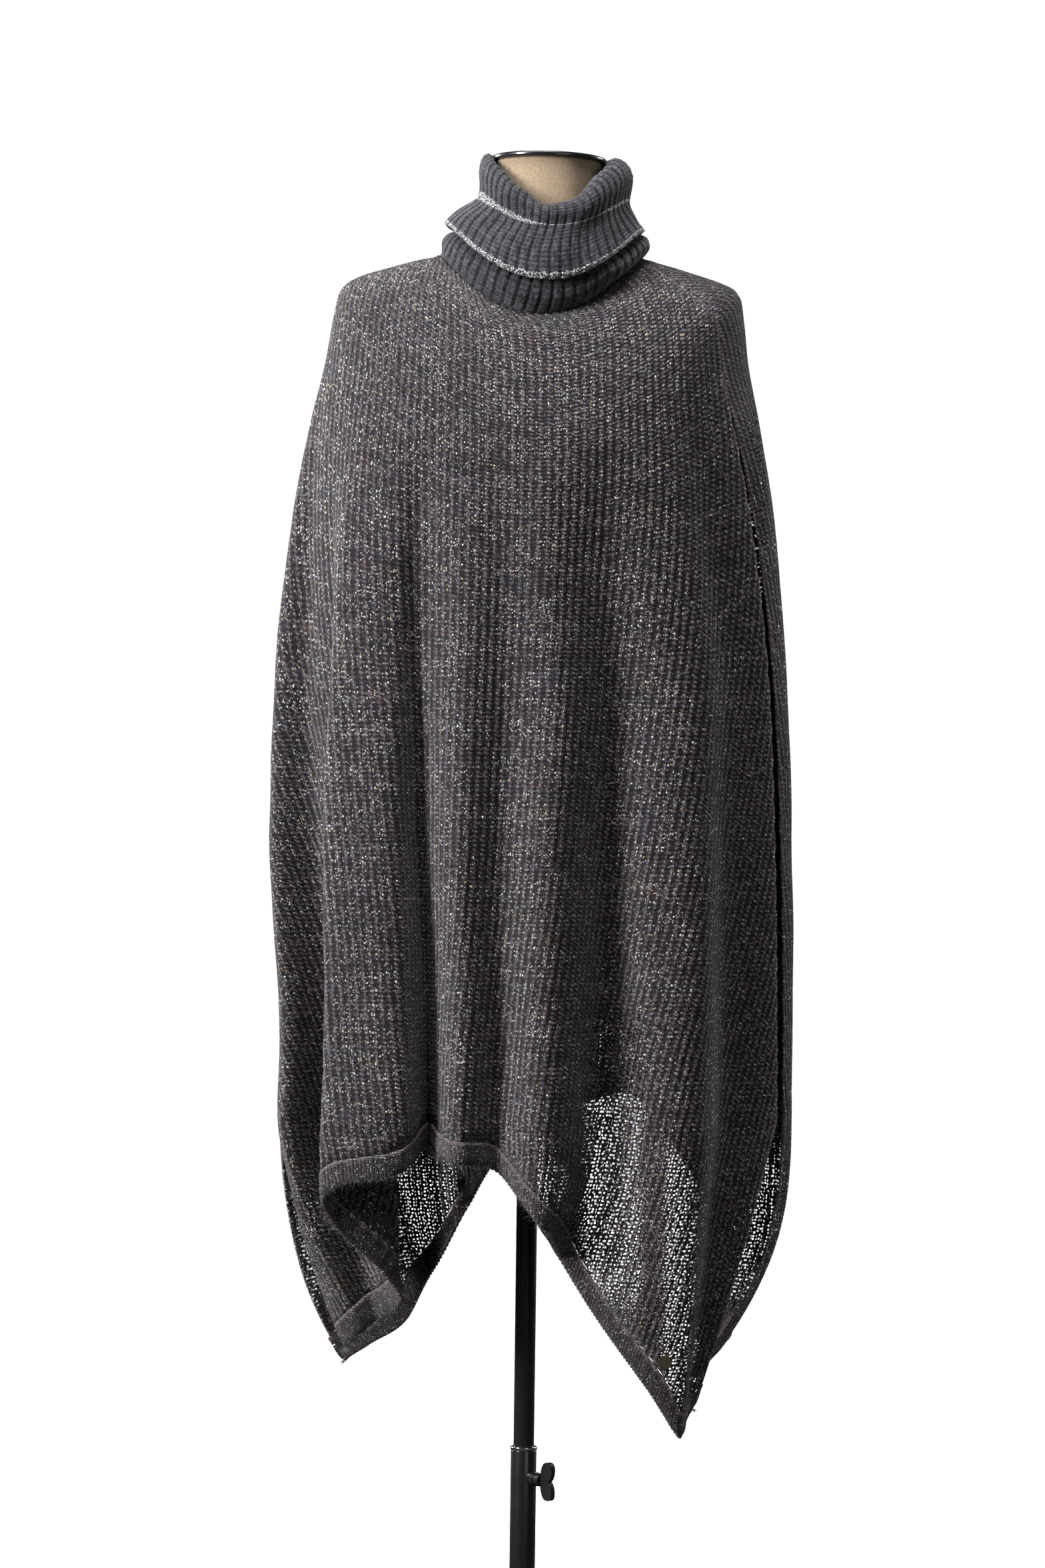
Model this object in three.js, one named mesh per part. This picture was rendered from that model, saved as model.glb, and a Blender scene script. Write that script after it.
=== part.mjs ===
import * as THREE from 'three'

// A rib-knit poncho sweater draped on a limbless dress form that slides and turns on a stand.
// Millimetres. +Z is up and the origin is the middle of the base plate's underside.
// The garment's front faces -Y and +X is on the viewer's right. Angles are in degrees, from the
// front, and grow towards +X.

// Knitted walls
const panelWall = 2
const bandWall = 3.4
const bandProud = 0.7
const bandHeight = 23
const collarWall = 3
const seamGap = 0.3
const slantAllowance = 0.65

// Where the side seams lie round the body at the chest, and where they end
const seamRight = 61
const seamLeft = 105

// Rings of the draped body. drop is the way down from the neckline. front, side and back are the
// ring's heights there, left and right its half widths, chest and nape its depths, and seamR and
// seamL the angles of the two shoulder seams.
const bodyRings = [
  { at: 'neckline', drop: 0, front: 1433, side: 1498, back: 1490,
    left: 100, right: 100, chest: 82, nape: 74, seamR: 74, seamL: 98 },
  { at: 'inner shoulder', drop: 35, front: 1417, side: 1488, back: 1476,
    left: 137, right: 134, chest: 98, nape: 88, seamR: 68, seamL: 101 },
  { at: 'outer shoulder', drop: 70, front: 1390, side: 1478, back: 1460,
    left: 171, right: 167, chest: 110, nape: 97, seamR: 63, seamL: 103 },
  { at: 'shoulder point', drop: 105, front: 1360, side: 1464, back: 1432,
    left: 195, right: 196, chest: 121, nape: 104, seamR: 61, seamL: 105 },
  { at: 'shoulder turn', drop: 140, front: 1329, side: 1434, back: 1400,
    left: 203, right: 203, chest: 130, nape: 110, seamR: 61, seamL: 105 },
  { at: 'upper arm', drop: 180, front: 1296, side: 1390, back: 1361,
    left: 210, right: 208, chest: 136, nape: 115, seamR: 61, seamL: 105 },
  { at: 'bust', drop: 230, front: 1252, side: 1330, back: 1309,
    left: 223, right: 221, chest: 140, nape: 120, seamR: 61, seamL: 105 },
  { at: 'under bust', drop: 300, front: 1190, side: 1246, back: 1232,
    left: 237, right: 234, chest: 143, nape: 126, seamR: 62, seamL: 105 },
  { at: 'elbow', drop: 380, front: 1116, side: 1142, back: 1135,
    left: 247, right: 245, chest: 146, nape: 132, seamR: 64, seamL: 105 },
  { at: 'seam end', drop: 450, front: 1050, side: 1050, back: 1050,
    left: 252, right: 251, chest: 150, nape: 138, seamR: 66, seamL: 105 },
  { at: 'hip', drop: 600, front: 900, side: 900, back: 900,
    left: 253, right: 257, chest: 157, nape: 148, seamR: 66, seamL: 105 },
  { at: 'thigh', drop: 750, front: 750, side: 750, back: 750,
    left: 243, right: 260, chest: 166, nape: 160, seamR: 66, seamL: 105 },
  { at: 'centre hem', drop: 900, front: 600, side: 600, back: 600,
    left: 244, right: 261, chest: 178, nape: 175, seamR: 66, seamL: 105 },
  { at: 'side', drop: 1050, front: 450, side: 450, back: 450,
    left: 240, right: 261, chest: 187, nape: 185, seamR: 66, seamL: 105 },
  { at: 'tips', drop: 1180, front: 320, side: 320, back: 320,
    left: 236, right: 260, chest: 190, nape: 190, seamR: 66, seamL: 105 },
]

// Fold lines, from one side edge of a panel to the other. chest is the line's angle on the smooth
// upper body. low and lowOut are its angle and how far it stands out of the ring at lowDrop. tip
// and tipOut are the same at the hem, and hem is the height of the hem there.
const foldStart = 180
const lowDrop = 850
const foldGrowth = 0.9

const frontFolds = [
  { line: 'left side edge', chest: -105, low: -84, lowOut: -3, tip: -63.8, tipOut: -43, hem: 422 },
  { line: 'outer ridge', chest: -91, low: -68, lowOut: 12, tip: -58.5, tipOut: -55, hem: 440 },
  { line: 'under layer', chest: -80, low: -73, lowOut: -54, tip: -57, tipOut: -70, hem: 452 },
  { line: 'tuck underside', chest: -72, low: -50, lowOut: -56, tip: -47.5, tipOut: -66, hem: 464 },
  { line: 'tuck', chest: -67, low: -41.7, lowOut: -50, tip: -41.9, tipOut: -57, hem: 476 },
  { line: 'tuck upper side', chest: -62, low: -42.5, lowOut: -30, tip: -43.5, tipOut: -35, hem: 505 },
  { line: 'back of folded ridge', chest: -55, low: -47.4, lowOut: 6, tip: -48, tipOut: 4, hem: 545 },
  { line: 'folded ridge', chest: -50, low: -47.5, lowOut: 27, tip: -47.6, tipOut: 24, hem: 570 },
  { line: 'front of folded ridge', chest: -45, low: -42.6, lowOut: 28, tip: -43, tipOut: 25, hem: 588 },
  { line: 'right edge of folded ridge', chest: -37, low: -28.8, lowOut: 6, tip: -29.2, tipOut: 5, hem: 602 },
  { line: 'deep valley', chest: -30, low: -30.2, lowOut: -55, tip: -30.6, tipOut: -55, hem: 624 },
  { line: 'left ridge', chest: -18, low: -16, lowOut: 1, tip: -16.5, tipOut: 1, hem: 612 },
  { line: 'shallow valley', chest: -8, low: -8, lowOut: -27, tip: -8, tipOut: -27, hem: 605 },
  { line: 'middle ridge', chest: 3, low: 3.5, lowOut: 9, tip: 2.5, tipOut: 9, hem: 556 },
  { line: 'right valley', chest: 16, low: 18.5, lowOut: -48, tip: 9.5, tipOut: -54, hem: 516 },
  { line: 'broad ridge', chest: 28, low: 26.3, lowOut: 6, tip: 28, tipOut: -14, hem: 400 },
  { line: 'crest of broad ridge', chest: 38, low: 35.5, lowOut: 20, tip: 35, tipOut: -4, hem: 354 },
  { line: 'side valley', chest: 47, low: 52.3, lowOut: -22, tip: 40.5, tipOut: -22, hem: 362 },
  { line: 'right side edge', chest: seamRight, low: 74.2, lowOut: -7, tip: 44.1, tipOut: -26, hem: 377 },
]

const backFolds = [
  { line: 'right side edge', chest: seamRight, low: 84, lowOut: -8, tip: 72, tipOut: -95, hem: 395 },
  { line: 'right side ridge', chest: 80, low: 98, lowOut: 1, tip: 96, tipOut: -71, hem: 415 },
  { line: 'right side valley', chest: 100, low: 114, lowOut: -28, tip: 112.5, tipOut: -51, hem: 450 },
  { line: 'right ridge', chest: 119, low: 128, lowOut: 8, tip: 128.8, tipOut: -10, hem: 530 },
  { line: 'right valley', chest: 139, low: 143, lowOut: -40, tip: 142, tipOut: -36, hem: 628 },
  { line: 'inner right ridge', chest: 156, low: 158, lowOut: 12, tip: 158.5, tipOut: 8, hem: 660 },
  { line: 'middle valley', chest: 171, low: 172, lowOut: -28, tip: 172.7, tipOut: -24, hem: 638 },
  { line: 'middle ridge', chest: 187, low: 187, lowOut: 14, tip: 185, tipOut: 9, hem: 598 },
  { line: 'inner left valley', chest: 202, low: 200, lowOut: -36, tip: 197.2, tipOut: -32, hem: 540 },
  { line: 'left ridge', chest: 216, low: 213, lowOut: 10, tip: 207.2, tipOut: -31, hem: 476 },
  { line: 'left valley', chest: 230, low: 227, lowOut: -38, tip: 225.1, tipOut: -66, hem: 432 },
  { line: 'left side ridge', chest: 243, low: 242, lowOut: 12, tip: 249, tipOut: -70, hem: 413 },
  { line: 'left side edge', chest: 255, low: 262, lowOut: 4, tip: 271, tipOut: -59, hem: 402 },
]

// The swing of the corners inwards below the low level: 1 is even, more keeps them out for longer.
// The front's right side edge swings in sooner, from a place across the panel on.
const frontSwing = 1.6
const frontEdgeSwing = 0.9
const edgeSwingFrom = 0.75
const backSwing = 2.6

// Mesh density of the panels, and the short ways across and down for reading a slope
const panelColumns = 60
const slopeAcross = 0.004
const slopeDrop = 4
const shoulderDrops = [0, 36, 70, 100, 128, 160, 205, 260]
const skirtRows = 7

// The collar's path, from its seam up to the rim and down to the edge of the turned flap. Each row
// is a ring as above, with shift as its way to the right and rib as the side of the wall whose ribs
// stand up there: 1 for the face that is outside at the seam, -1 for the other.
const collarRibs = 57
const ribHeight = 1.1
const collarRings = [
  { at: 'seam', shift: 0, front: 1432.8, side: 1497, back: 1489.2,
    wide: 97.4, chest: 79, nape: 70.7, rib: 0 },
  { at: 'seam stand', shift: 0, front: 1436.5, side: 1500, back: 1493,
    wide: 97.7, chest: 80, nape: 71.3, rib: 0 },
  { at: 'roll foot', shift: 3, front: 1442, side: 1505, back: 1497,
    wide: 100.5, chest: 88, nape: 78.5, rib: 1 },
  { at: 'roll middle', shift: 5, front: 1450, side: 1511, back: 1502.5,
    wide: 102.5, chest: 94, nape: 83, rib: 1 },
  { at: 'roll top', shift: 6, front: 1460, side: 1517, back: 1509,
    wide: 98.5, chest: 90, nape: 80, rib: 1 },
  { at: 'tuck', shift: 6, front: 1467, side: 1521, back: 1514,
    wide: 88, chest: 81.5, nape: 72, rib: 0 },
  { at: 'tube', shift: 8, front: 1494, side: 1543, back: 1540,
    wide: 70.5, chest: 74, nape: 66, rib: 0 },
  { at: 'rim inside', shift: 12.5, front: 1530, side: 1580, back: 1578,
    wide: 60, chest: 71, nape: 62, rib: -1 },
  { at: 'rim top', shift: 13, front: 1539, side: 1590, back: 1587,
    wide: 66.5, chest: 78, nape: 68.5, rib: -1 },
  { at: 'rim outside', shift: 14, front: 1531, side: 1578.5, back: 1578,
    wide: 72.5, chest: 85, nape: 75, rib: -1 },
  { at: 'crease', shift: 12, front: 1517, side: 1553, back: 1556,
    wide: 71.5, chest: 84, nape: 76, rib: -1 },
  { at: 'flap middle', shift: 5, front: 1494, side: 1538, back: 1538,
    wide: 85.5, chest: 93, nape: 87, rib: -1 },
  { at: 'flap edge', shift: 3, front: 1471.5, side: 1526, back: 1523,
    wide: 97.5, chest: 99, nape: 96, rib: 0 },
]
const collarTilt = 0.02

// Small plain disc near the garment's front right corner: its place on the panel's grid
const discRadius = 6.7
const discThick = 1.6
const discColumn = 52
const discRow = 14
const discDownRow = 0.79
const discLift = 0.5
const discSides = 16

// Dress form
const formColumns = 36
const seatGap = 0.5
const neckTop = 1593
const neckRadius = 52.5
const neckLean = 8
const formBottom = 751
const seatDrops = [36, 70, 100]
const neckRings = [
  { at: 'neck top', front: neckTop, side: neckTop, back: neckTop,
    wide: neckRadius, chest: neckRadius, nape: neckRadius, shift: neckLean },
  { at: 'neck middle', front: 1545, side: 1550, back: 1550,
    wide: 53, chest: 54, nape: 53, shift: 7 },
  { at: 'neck foot', front: 1480, side: 1520, back: 1515,
    wide: 64, chest: 62, nape: 58, shift: 2 },
  { at: 'neck base', front: 1437, side: 1498, back: 1493,
    wide: 86, chest: 69, nape: 62, shift: 0 },
]
const trunkRings = [
  { at: 'shoulder end', front: 1338, side: 1446, back: 1408, wide: 190.5, chest: 123, nape: 103, shift: 0 },
  { at: 'arm end', front: 1305, side: 1400, back: 1368, wide: 187, chest: 130, nape: 107, shift: 0 },
  { at: 'bust', front: 1255, side: 1330, back: 1310, wide: 174, chest: 134, nape: 110, shift: 0 },
  { at: 'ribs', front: 1180, side: 1200, back: 1195, wide: 145, chest: 112, nape: 96, shift: 0 },
  { at: 'waist', front: 1075, side: 1075, back: 1075, wide: 121, chest: 92, nape: 80, shift: 0 },
  { at: 'high hip', front: 960, side: 960, back: 960, wide: 148, chest: 104, nape: 104, shift: 0 },
  { at: 'hip', front: 860, side: 860, back: 860, wide: 166, chest: 110, nape: 118, shift: 0 },
  { at: 'lower edge', front: 762, side: 762, back: 762, wide: 162, chest: 106, nape: 112, shift: 0 },
  { at: 'rounding', front: formBottom, side: formBottom, back: formBottom,
    wide: 153, chest: 97, nape: 103, shift: 0 },
]

const capRadius = 57.5
const capThick = 5
const capEdge = 1.5
const capShoulder = 1.6
const capDome = 2
const capTilt = 1.7
const capSides = 32

// Stand
const innerTubeRadius = 10.3
const innerTubeBore = 8.6
const socketRadius = 10.6
const socketDepth = 62
const tubeInForm = 60
const tubeInSleeve = 180
const sleeveRadius = 12.8
const sleeveBore = 10.8
const sleeveTop = 317
const ringHeight = 3
const ringRadius = 13.4
const plateRadius = 155
const plateThick = 10
const plateEdge = 2
const plateSides = 48
const hubRadius = 26
const hubTopRadius = 18
const hubRim = 12
const hubHeight = 34
const tubeSides = 24

// Clamping screw on the sleeve
const screwHeight = 290
const screwTurn = 50
const bossRadius = 7
const bossLength = 8
const screwRadius = 3
const screwHeadRadius = 6.5
const screwHeadLength = 7
const wingSpan = 38
const wingDepth = 17
const wingThick = 5
const screwSides = 16

const clothMaterial = new THREE.MeshStandardMaterial({ color: 0x3b393b, roughness: 0.95, metalness: 0 })
const collarMaterial = new THREE.MeshStandardMaterial({ color: 0x3d3d40, roughness: 0.95, metalness: 0 })
const discMaterial = new THREE.MeshStandardMaterial({ color: 0x3a3226, roughness: 0.7, metalness: 0.2 })
const linenMaterial = new THREE.MeshStandardMaterial({ color: 0xa08c74, roughness: 0.9, metalness: 0 })
const blackMetal = new THREE.MeshStandardMaterial({ color: 0x17171a, roughness: 0.35, metalness: 0.6 })
const chrome = new THREE.MeshStandardMaterial({ color: 0xc8c8cc, roughness: 0.15, metalness: 1 })
const blackPlastic = new THREE.MeshStandardMaterial({ color: 0x101012, roughness: 0.4, metalness: 0 })

const part = new THREE.Group()

function addPiece(name, geometry, material) {
  const mesh = new THREE.Mesh(geometry, material)
  mesh.name = name
  part.add(mesh)
  return mesh
}

// A column of a table read between its rows, by a cubic through the rows on both sides
function readTable(table, key, at, column) {
  let low = 0
  while (low < table.length - 2 && table[low + 1][key] <= at) low += 1
  const slope = (i) => {
    const before = table[Math.max(i - 1, 0)]
    const after = table[Math.min(i + 1, table.length - 1)]
    return (after[column] - before[column]) / (after[key] - before[key])
  }
  const [start, end] = [table[low], table[low + 1]]
  const span = end[key] - start[key]
  const u = Math.min(Math.max((at - start[key]) / span, 0), 1)
  const [u2, u3] = [u * u, u * u * u]
  return start[column] * (2 * u3 - 3 * u2 + 1) + end[column] * (3 * u2 - 2 * u3)
    + span * (slope(low) * (u3 - 2 * u2 + u) + slope(low + 1) * (u3 - u2))
}

// The point of a ring at an angle: an ellipse in plan, whose height runs from its side height to
// its front or back height
function ellipsePoint(ring, angle, out) {
  const [sine, cosine] = [Math.sin(angle), Math.cos(angle)]
  const wide = sine < 0 ? ring.left : ring.right
  const depth = cosine > 0 ? ring.chest : ring.nape
  const low = cosine > 0 ? ring.front : ring.back
  return new THREE.Vector3(
    (ring.shift ?? 0) + (wide + out) * sine,
    -(depth + out) * cosine,
    ring.side + (low - ring.side) * cosine * cosine,
  )
}

function bodyRing(drop) {
  const ring = {}
  for (const column of ['front', 'side', 'back', 'left', 'right', 'chest', 'nape', 'seamR', 'seamL']) {
    ring[column] = readTable(bodyRings, 'drop', drop, column)
  }
  return ring
}

// From the seam's end down, a height is this much less its drop
const seamEnd = bodyRings.find((ring) => ring.at === 'seam end')
const topHeight = seamEnd.side + seamEnd.drop

// Each fold line gets its place across the panel, from 0 to 1, by the cloth between the lines, as
// the mean of its lengths at the low level and at the hem
function spreadFolds(folds) {
  const radians = THREE.MathUtils.degToRad
  const lowPoints = folds.map((fold) => ellipsePoint(bodyRing(lowDrop), radians(fold.low), fold.lowOut))
  const hemPoints = folds.map((fold) =>
    ellipsePoint(bodyRing(topHeight - fold.hem), radians(fold.tip), fold.tipOut))
  const lengths = [0]
  for (let i = 1; i < folds.length; i += 1) {
    const lowLength = lowPoints[i].distanceTo(lowPoints[i - 1])
    const hemLength = hemPoints[i].distanceTo(hemPoints[i - 1])
    lengths.push(lengths[i - 1] + (lowLength + hemLength) / 2)
  }
  return folds.map((fold, i) => ({ ...fold, across: lengths[i] / lengths[folds.length - 1] }))
}

const foldsOf = { front: spreadFolds(frontFolds), back: spreadFolds(backFolds) }

function swingAt(side, across) {
  if (side === 'back') {
    return backSwing
  }
  const nearEdge = Math.max((across - edgeSwingFrom) / (1 - edgeSwingFrom), 0)
  return frontSwing + (frontEdgeSwing - frontSwing) * nearEdge
}

function hemDrop(side, across) {
  return topHeight - readTable(foldsOf[side], 'across', across, 'hem')
}

// The draped surface of a panel at a place across it and a drop down it
function drapedPoint(side, across, drop) {
  const folds = foldsOf[side]
  const ring = bodyRing(drop)
  const read = (column) => readTable(folds, 'across', across, column)
  const firstSeam = side === 'front' ? -ring.seamL : ring.seamR
  const lastSeam = side === 'front' ? ring.seamR : 360 - ring.seamL
  const firstChest = folds[0].chest
  const lastChest = folds[folds.length - 1].chest
  const turned = (read('chest') - firstChest) / (lastChest - firstChest)
  const chestAngle = firstSeam + (lastSeam - firstSeam) * turned
  const growth = Math.max((drop - foldStart) / (lowDrop - foldStart), 0)
  const folded = Math.min(growth, 1) ** foldGrowth
  const below = Math.max((drop - lowDrop) / Math.max(hemDrop(side, across) - lowDrop, 1), 0)
  const swung = Math.min(below, 1) ** swingAt(side, across)
  const lowAngle = read('low') + (read('tip') - read('low')) * swung
  const lowOut = read('lowOut') + (read('tipOut') - read('lowOut')) * swung
  const angle = chestAngle + (lowAngle - chestAngle) * folded
  return ellipsePoint(ring, THREE.MathUtils.degToRad(angle), lowOut * folded)
}

// The direction out of a surface, from its points a short way off
function outward(surface, across, drop) {
  const [before, after] = [Math.max(across - slopeAcross, 0), Math.min(across + slopeAcross, 1)]
  const alongU = surface(after, drop).sub(surface(before, drop))
  const alongV = surface(across, drop + slopeDrop).sub(surface(across, Math.max(drop - slopeDrop, 0)))
  return alongV.cross(alongU).normalize()
}

function meshFrom(points, faces) {
  const geometry = new THREE.BufferGeometry()
  geometry.setAttribute('position', new THREE.Float32BufferAttribute(points.flatMap((p) => p.toArray()), 3))
  geometry.setIndex(faces.flat())
  geometry.computeVertexNormals()
  return geometry
}

function quad(a, b, c, d) {
  return [[a, b, c], [a, c, d]]
}

// A sheet with a wall: rows of outer and inner points, closed round its four edges
function sheetWall(outer, inner) {
  const rows = outer.length
  const columns = outer[0].length
  const points = [...outer.flat(), ...inner.flat()]
  const at = (row, column) => row * columns + column
  const under = (row, column) => rows * columns + at(row, column)
  const faces = []
  for (let row = 0; row < rows - 1; row += 1) {
    for (let column = 0; column < columns - 1; column += 1) {
      faces.push(...quad(at(row, column), at(row + 1, column), at(row + 1, column + 1), at(row, column + 1)))
      faces.push(...quad(under(row, column), under(row, column + 1), under(row + 1, column + 1),
        under(row + 1, column)))
    }
    faces.push(...quad(at(row, 0), under(row, 0), under(row + 1, 0), at(row + 1, 0)))
    const last = columns - 1
    faces.push(...quad(at(row, last), at(row + 1, last), under(row + 1, last), under(row, last)))
  }
  for (let column = 0; column < columns - 1; column += 1) {
    const low = rows - 1
    faces.push(...quad(at(0, column), at(0, column + 1), under(0, column + 1), under(0, column)))
    faces.push(...quad(at(low, column), under(low, column), under(low, column + 1), at(low, column + 1)))
  }
  return meshFrom(points, faces)
}

// Rings of equal count joined into one skin. With closed true the last ring joins the first, and
// otherwise both ends are closed by a fan round their middle.
function ringSkin(rings, closed) {
  const count = rings[0].length
  const points = rings.flat()
  const faces = []
  const joins = closed ? rings.length : rings.length - 1
  for (let i = 0; i < joins; i += 1) {
    const [here, next] = [i * count, ((i + 1) % rings.length) * count]
    for (let j = 0; j < count; j += 1) {
      const after = (j + 1) % count
      faces.push(...quad(here + j, next + j, next + after, here + after))
    }
  }
  if (!closed) {
    for (const [ring, first] of [[rings[0], true], [rings[rings.length - 1], false]]) {
      const middle = ring.reduce((sum, p) => sum.add(p), new THREE.Vector3()).divideScalar(count)
      const start = first ? 0 : (rings.length - 1) * count
      points.push(middle)
      for (let j = 0; j < count; j += 1) {
        const after = (j + 1) % count
        const face = [points.length - 1, start + j, start + after]
        faces.push(first ? face : face.reverse())
      }
    }
  }
  return meshFrom(points, faces)
}

// The seam gap above the band as a drop, which is more where the hem slopes
function bandGap(side, across) {
  const [a, b] = [Math.max(across - slopeAcross, 0), Math.min(across + slopeAcross, 1)]
  const along = drapedPoint(side, b, hemDrop(side, b)).sub(drapedPoint(side, a, hemDrop(side, a)))
  return seamGap * (along.length() / Math.hypot(along.x, along.y)) ** 2.5 + slantAllowance
}

// The drops of a panel's rows at one column: fixed over the shoulder, then evenly down to its edge
function rowDrops(side, across) {
  const first = shoulderDrops[shoulderDrops.length - 1]
  const last = hemDrop(side, across) - bandHeight - bandGap(side, across)
  const skirt = Array.from({ length: skirtRows }, (_, i) => first + ((last - first) * (i + 1)) / skirtRows)
  return [...shoulderDrops, ...skirt]
}

// Both edges of a panel stand back by half a seam gap, so that the two panels don't meet
function acrossAt(side, column) {
  const folds = foldsOf[side]
  const turn = Math.abs(folds[folds.length - 1].chest - folds[0].chest)
  const edge = THREE.MathUtils.radToDeg(seamGap / bodyRings[0].left) / turn
  return edge + (1 - 2 * edge) * (column / panelColumns)
}

function panelGrid(side, lift, rowsOf) {
  const surface = (u, v) => drapedPoint(side, u, v)
  const grid = []
  for (let column = 0; column <= panelColumns; column += 1) {
    const across = acrossAt(side, column)
    rowsOf(side, across).forEach((drop, row) => {
      grid[row] ??= []
      const normal = outward(surface, across, drop)
      grid[row].push(surface(across, drop).addScaledVector(normal, lift))
    })
  }
  return grid
}

// The two body panels, each one knitted rectangle
for (const side of ['front', 'back']) {
  const outer = panelGrid(side, 0, rowDrops)
  const inner = panelGrid(side, -panelWall, rowDrops)
  addPiece(`${side}_panel`, sheetWall(outer, inner), clothMaterial)
}

// The doubled band along each panel's lower edge
const bandDrops = (side, across) => {
  const low = hemDrop(side, across)
  return [low - bandHeight, low]
}
for (const side of ['front', 'back']) {
  const outer = panelGrid(side, bandProud, bandDrops)
  const inner = panelGrid(side, bandProud - bandWall, bandDrops)
  addPiece(`${side}_hem_band`, sheetWall(outer, inner), clothMaterial)
}

// The small disc lies on the crest of the front panel's broad ridge, between two rows
function discOnPanel() {
  const grid = panelGrid('front', 0, rowDrops)
  const top = grid[discRow - 1][discColumn]
  const foot = grid[discRow][discColumn]
  const aside = grid[discRow][discColumn + 1].clone().sub(grid[discRow][discColumn - 1])
  const normal = foot.clone().sub(top).cross(aside).normalize()
  const middle = top.clone().lerp(foot, discDownRow).addScaledVector(normal, discLift + discThick / 2)
  const disc = addPiece('tag_disc', new THREE.CylinderGeometry(discRadius, discRadius, discThick, discSides),
    discMaterial)
  disc.quaternion.setFromUnitVectors(new THREE.Vector3(0, 1, 0), normal)
  disc.position.copy(middle)
}
discOnPanel()

// The collar: its path between the rings is offset to both sides of the wall's middle
function collarPoint(station, angle) {
  const row = collarRings[station]
  const ring = { ...row, left: row.wide, right: row.wide }
  const point = ellipsePoint(ring, angle, 0)
  point.z -= collarTilt * (point.x - row.shift) * (station / (collarRings.length - 1))
  return point
}

function collarNormal(station, angle) {
  const step = 0.02
  const last = collarRings.length - 1
  const around = collarPoint(station, angle + step).sub(collarPoint(station, angle - step))
  const along = collarPoint(Math.min(station + 1, last), angle)
    .sub(collarPoint(Math.max(station - 1, 0), angle))
  return around.cross(along).normalize()
}

function collarRing(station, face) {
  const count = collarRibs * 2
  return Array.from({ length: count }, (_, i) => {
    const angle = (i / count) * Math.PI * 2
    const raised = collarRings[station].rib === face && i % 2 === 0 ? ribHeight : 0
    const normal = collarNormal(station, angle)
    return collarPoint(station, angle).addScaledVector(normal, face * (collarWall / 2 + raised))
  })
}

const collarStations = collarRings.map((_, i) => i)
const collarSkin = [
  ...collarStations.map((station) => collarRing(station, -1)),
  ...collarStations.reverse().map((station) => collarRing(station, 1)),
]
addPiece('collar', ringSkin(collarSkin, true), collarMaterial)

// The form's skin: down the neck, under the cloth's shoulders, down the trunk and into the socket
function formRing(ring) {
  const sided = { ...ring, left: ring.wide, right: ring.wide }
  return Array.from({ length: formColumns }, (_, i) =>
    ellipsePoint(sided, (i / formColumns) * Math.PI * 2, 0))
}

function seatRing(drop) {
  const surface = (u, v) => ellipsePoint(bodyRing(v), u * Math.PI * 2, 0)
  return Array.from({ length: formColumns }, (_, i) => {
    const around = i / formColumns
    const ahead = surface(around + slopeAcross, drop).sub(surface(around - slopeAcross, drop))
    const down = surface(around, drop + slopeDrop).sub(surface(around, drop - slopeDrop))
    const normal = down.cross(ahead).normalize()
    return surface(around, drop).addScaledVector(normal, -panelWall - seatGap)
  })
}

function socketRing(height) {
  const round = { front: height, side: height, back: height, chest: socketRadius, nape: socketRadius }
  return formRing({ ...round, wide: socketRadius })
}

const formSkin = [
  ...neckRings.map(formRing),
  ...seatDrops.map(seatRing),
  ...trunkRings.map(formRing),
  socketRing(formBottom),
  socketRing(formBottom + socketDepth),
]
const capSlope = Math.tan(THREE.MathUtils.degToRad(capTilt))
for (const point of formSkin[0]) {
  point.z -= capSlope * (point.x - neckLean)
}
addPiece('form_torso', ringSkin(formSkin, false), linenMaterial)

// A turned piece: pairs of radius and height, round the Z axis
function turned(profile, sides) {
  const points = profile.map(([radius, height]) => new THREE.Vector2(radius, height))
  return new THREE.LatheGeometry(points, sides).rotateX(Math.PI / 2)
}

function pipe(bore, radius, low, high, sides) {
  return turned([[bore, low], [radius, low], [radius, high], [bore, high], [bore, low]], sides)
}

const cap = addPiece('neck_cap', turned([
  [0, 0],
  [capRadius - capEdge, 0],
  [capRadius, capEdge],
  [capRadius, capThick - capEdge],
  [capRadius - capEdge, capThick],
  [capRadius / 2, capThick + capShoulder],
  [0, capThick + capDome],
], capSides), blackMetal)
cap.rotation.y = THREE.MathUtils.degToRad(capTilt)
cap.position.set(neckLean, 0, neckTop + seamGap)

// The stand's tubes, with the upper one in the form's socket and in the sleeve
const tubeTop = formBottom + tubeInForm
const tubeFoot = sleeveTop - tubeInSleeve
addPiece('upper_tube', pipe(innerTubeBore, innerTubeRadius, tubeFoot, tubeTop, tubeSides), blackMetal)
const lowerTube = pipe(sleeveBore, sleeveRadius, plateThick + seamGap, sleeveTop, tubeSides)
addPiece('lower_tube', lowerTube, blackMetal)
addPiece('sleeve_ring', pipe(sleeveBore, ringRadius, sleeveTop + seamGap, sleeveTop + seamGap + ringHeight,
  tubeSides), chrome)

const hubBase = plateThick + seamGap
addPiece('base_hub', turned([
  [sleeveRadius + seamGap, hubBase],
  [hubRadius, hubBase],
  [hubRadius, hubBase + hubRim],
  [hubTopRadius, hubBase + hubHeight],
  [sleeveRadius + seamGap, hubBase + hubHeight],
  [sleeveRadius + seamGap, hubBase],
], tubeSides), blackMetal)

addPiece('base_plate', turned([
  [0, 0],
  [plateRadius - plateEdge, 0],
  [plateRadius, plateEdge],
  [plateRadius, plateThick - plateEdge],
  [plateRadius - plateEdge, plateThick],
  [0, plateThick],
], plateSides), blackMetal)

// The clamping screw, its boss on the sleeve and its wing, along an axis to the right and front
const screw = new THREE.Group()
screw.position.set(0, 0, screwHeight)
screw.rotation.z = THREE.MathUtils.degToRad(-screwTurn)
part.add(screw)

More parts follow.
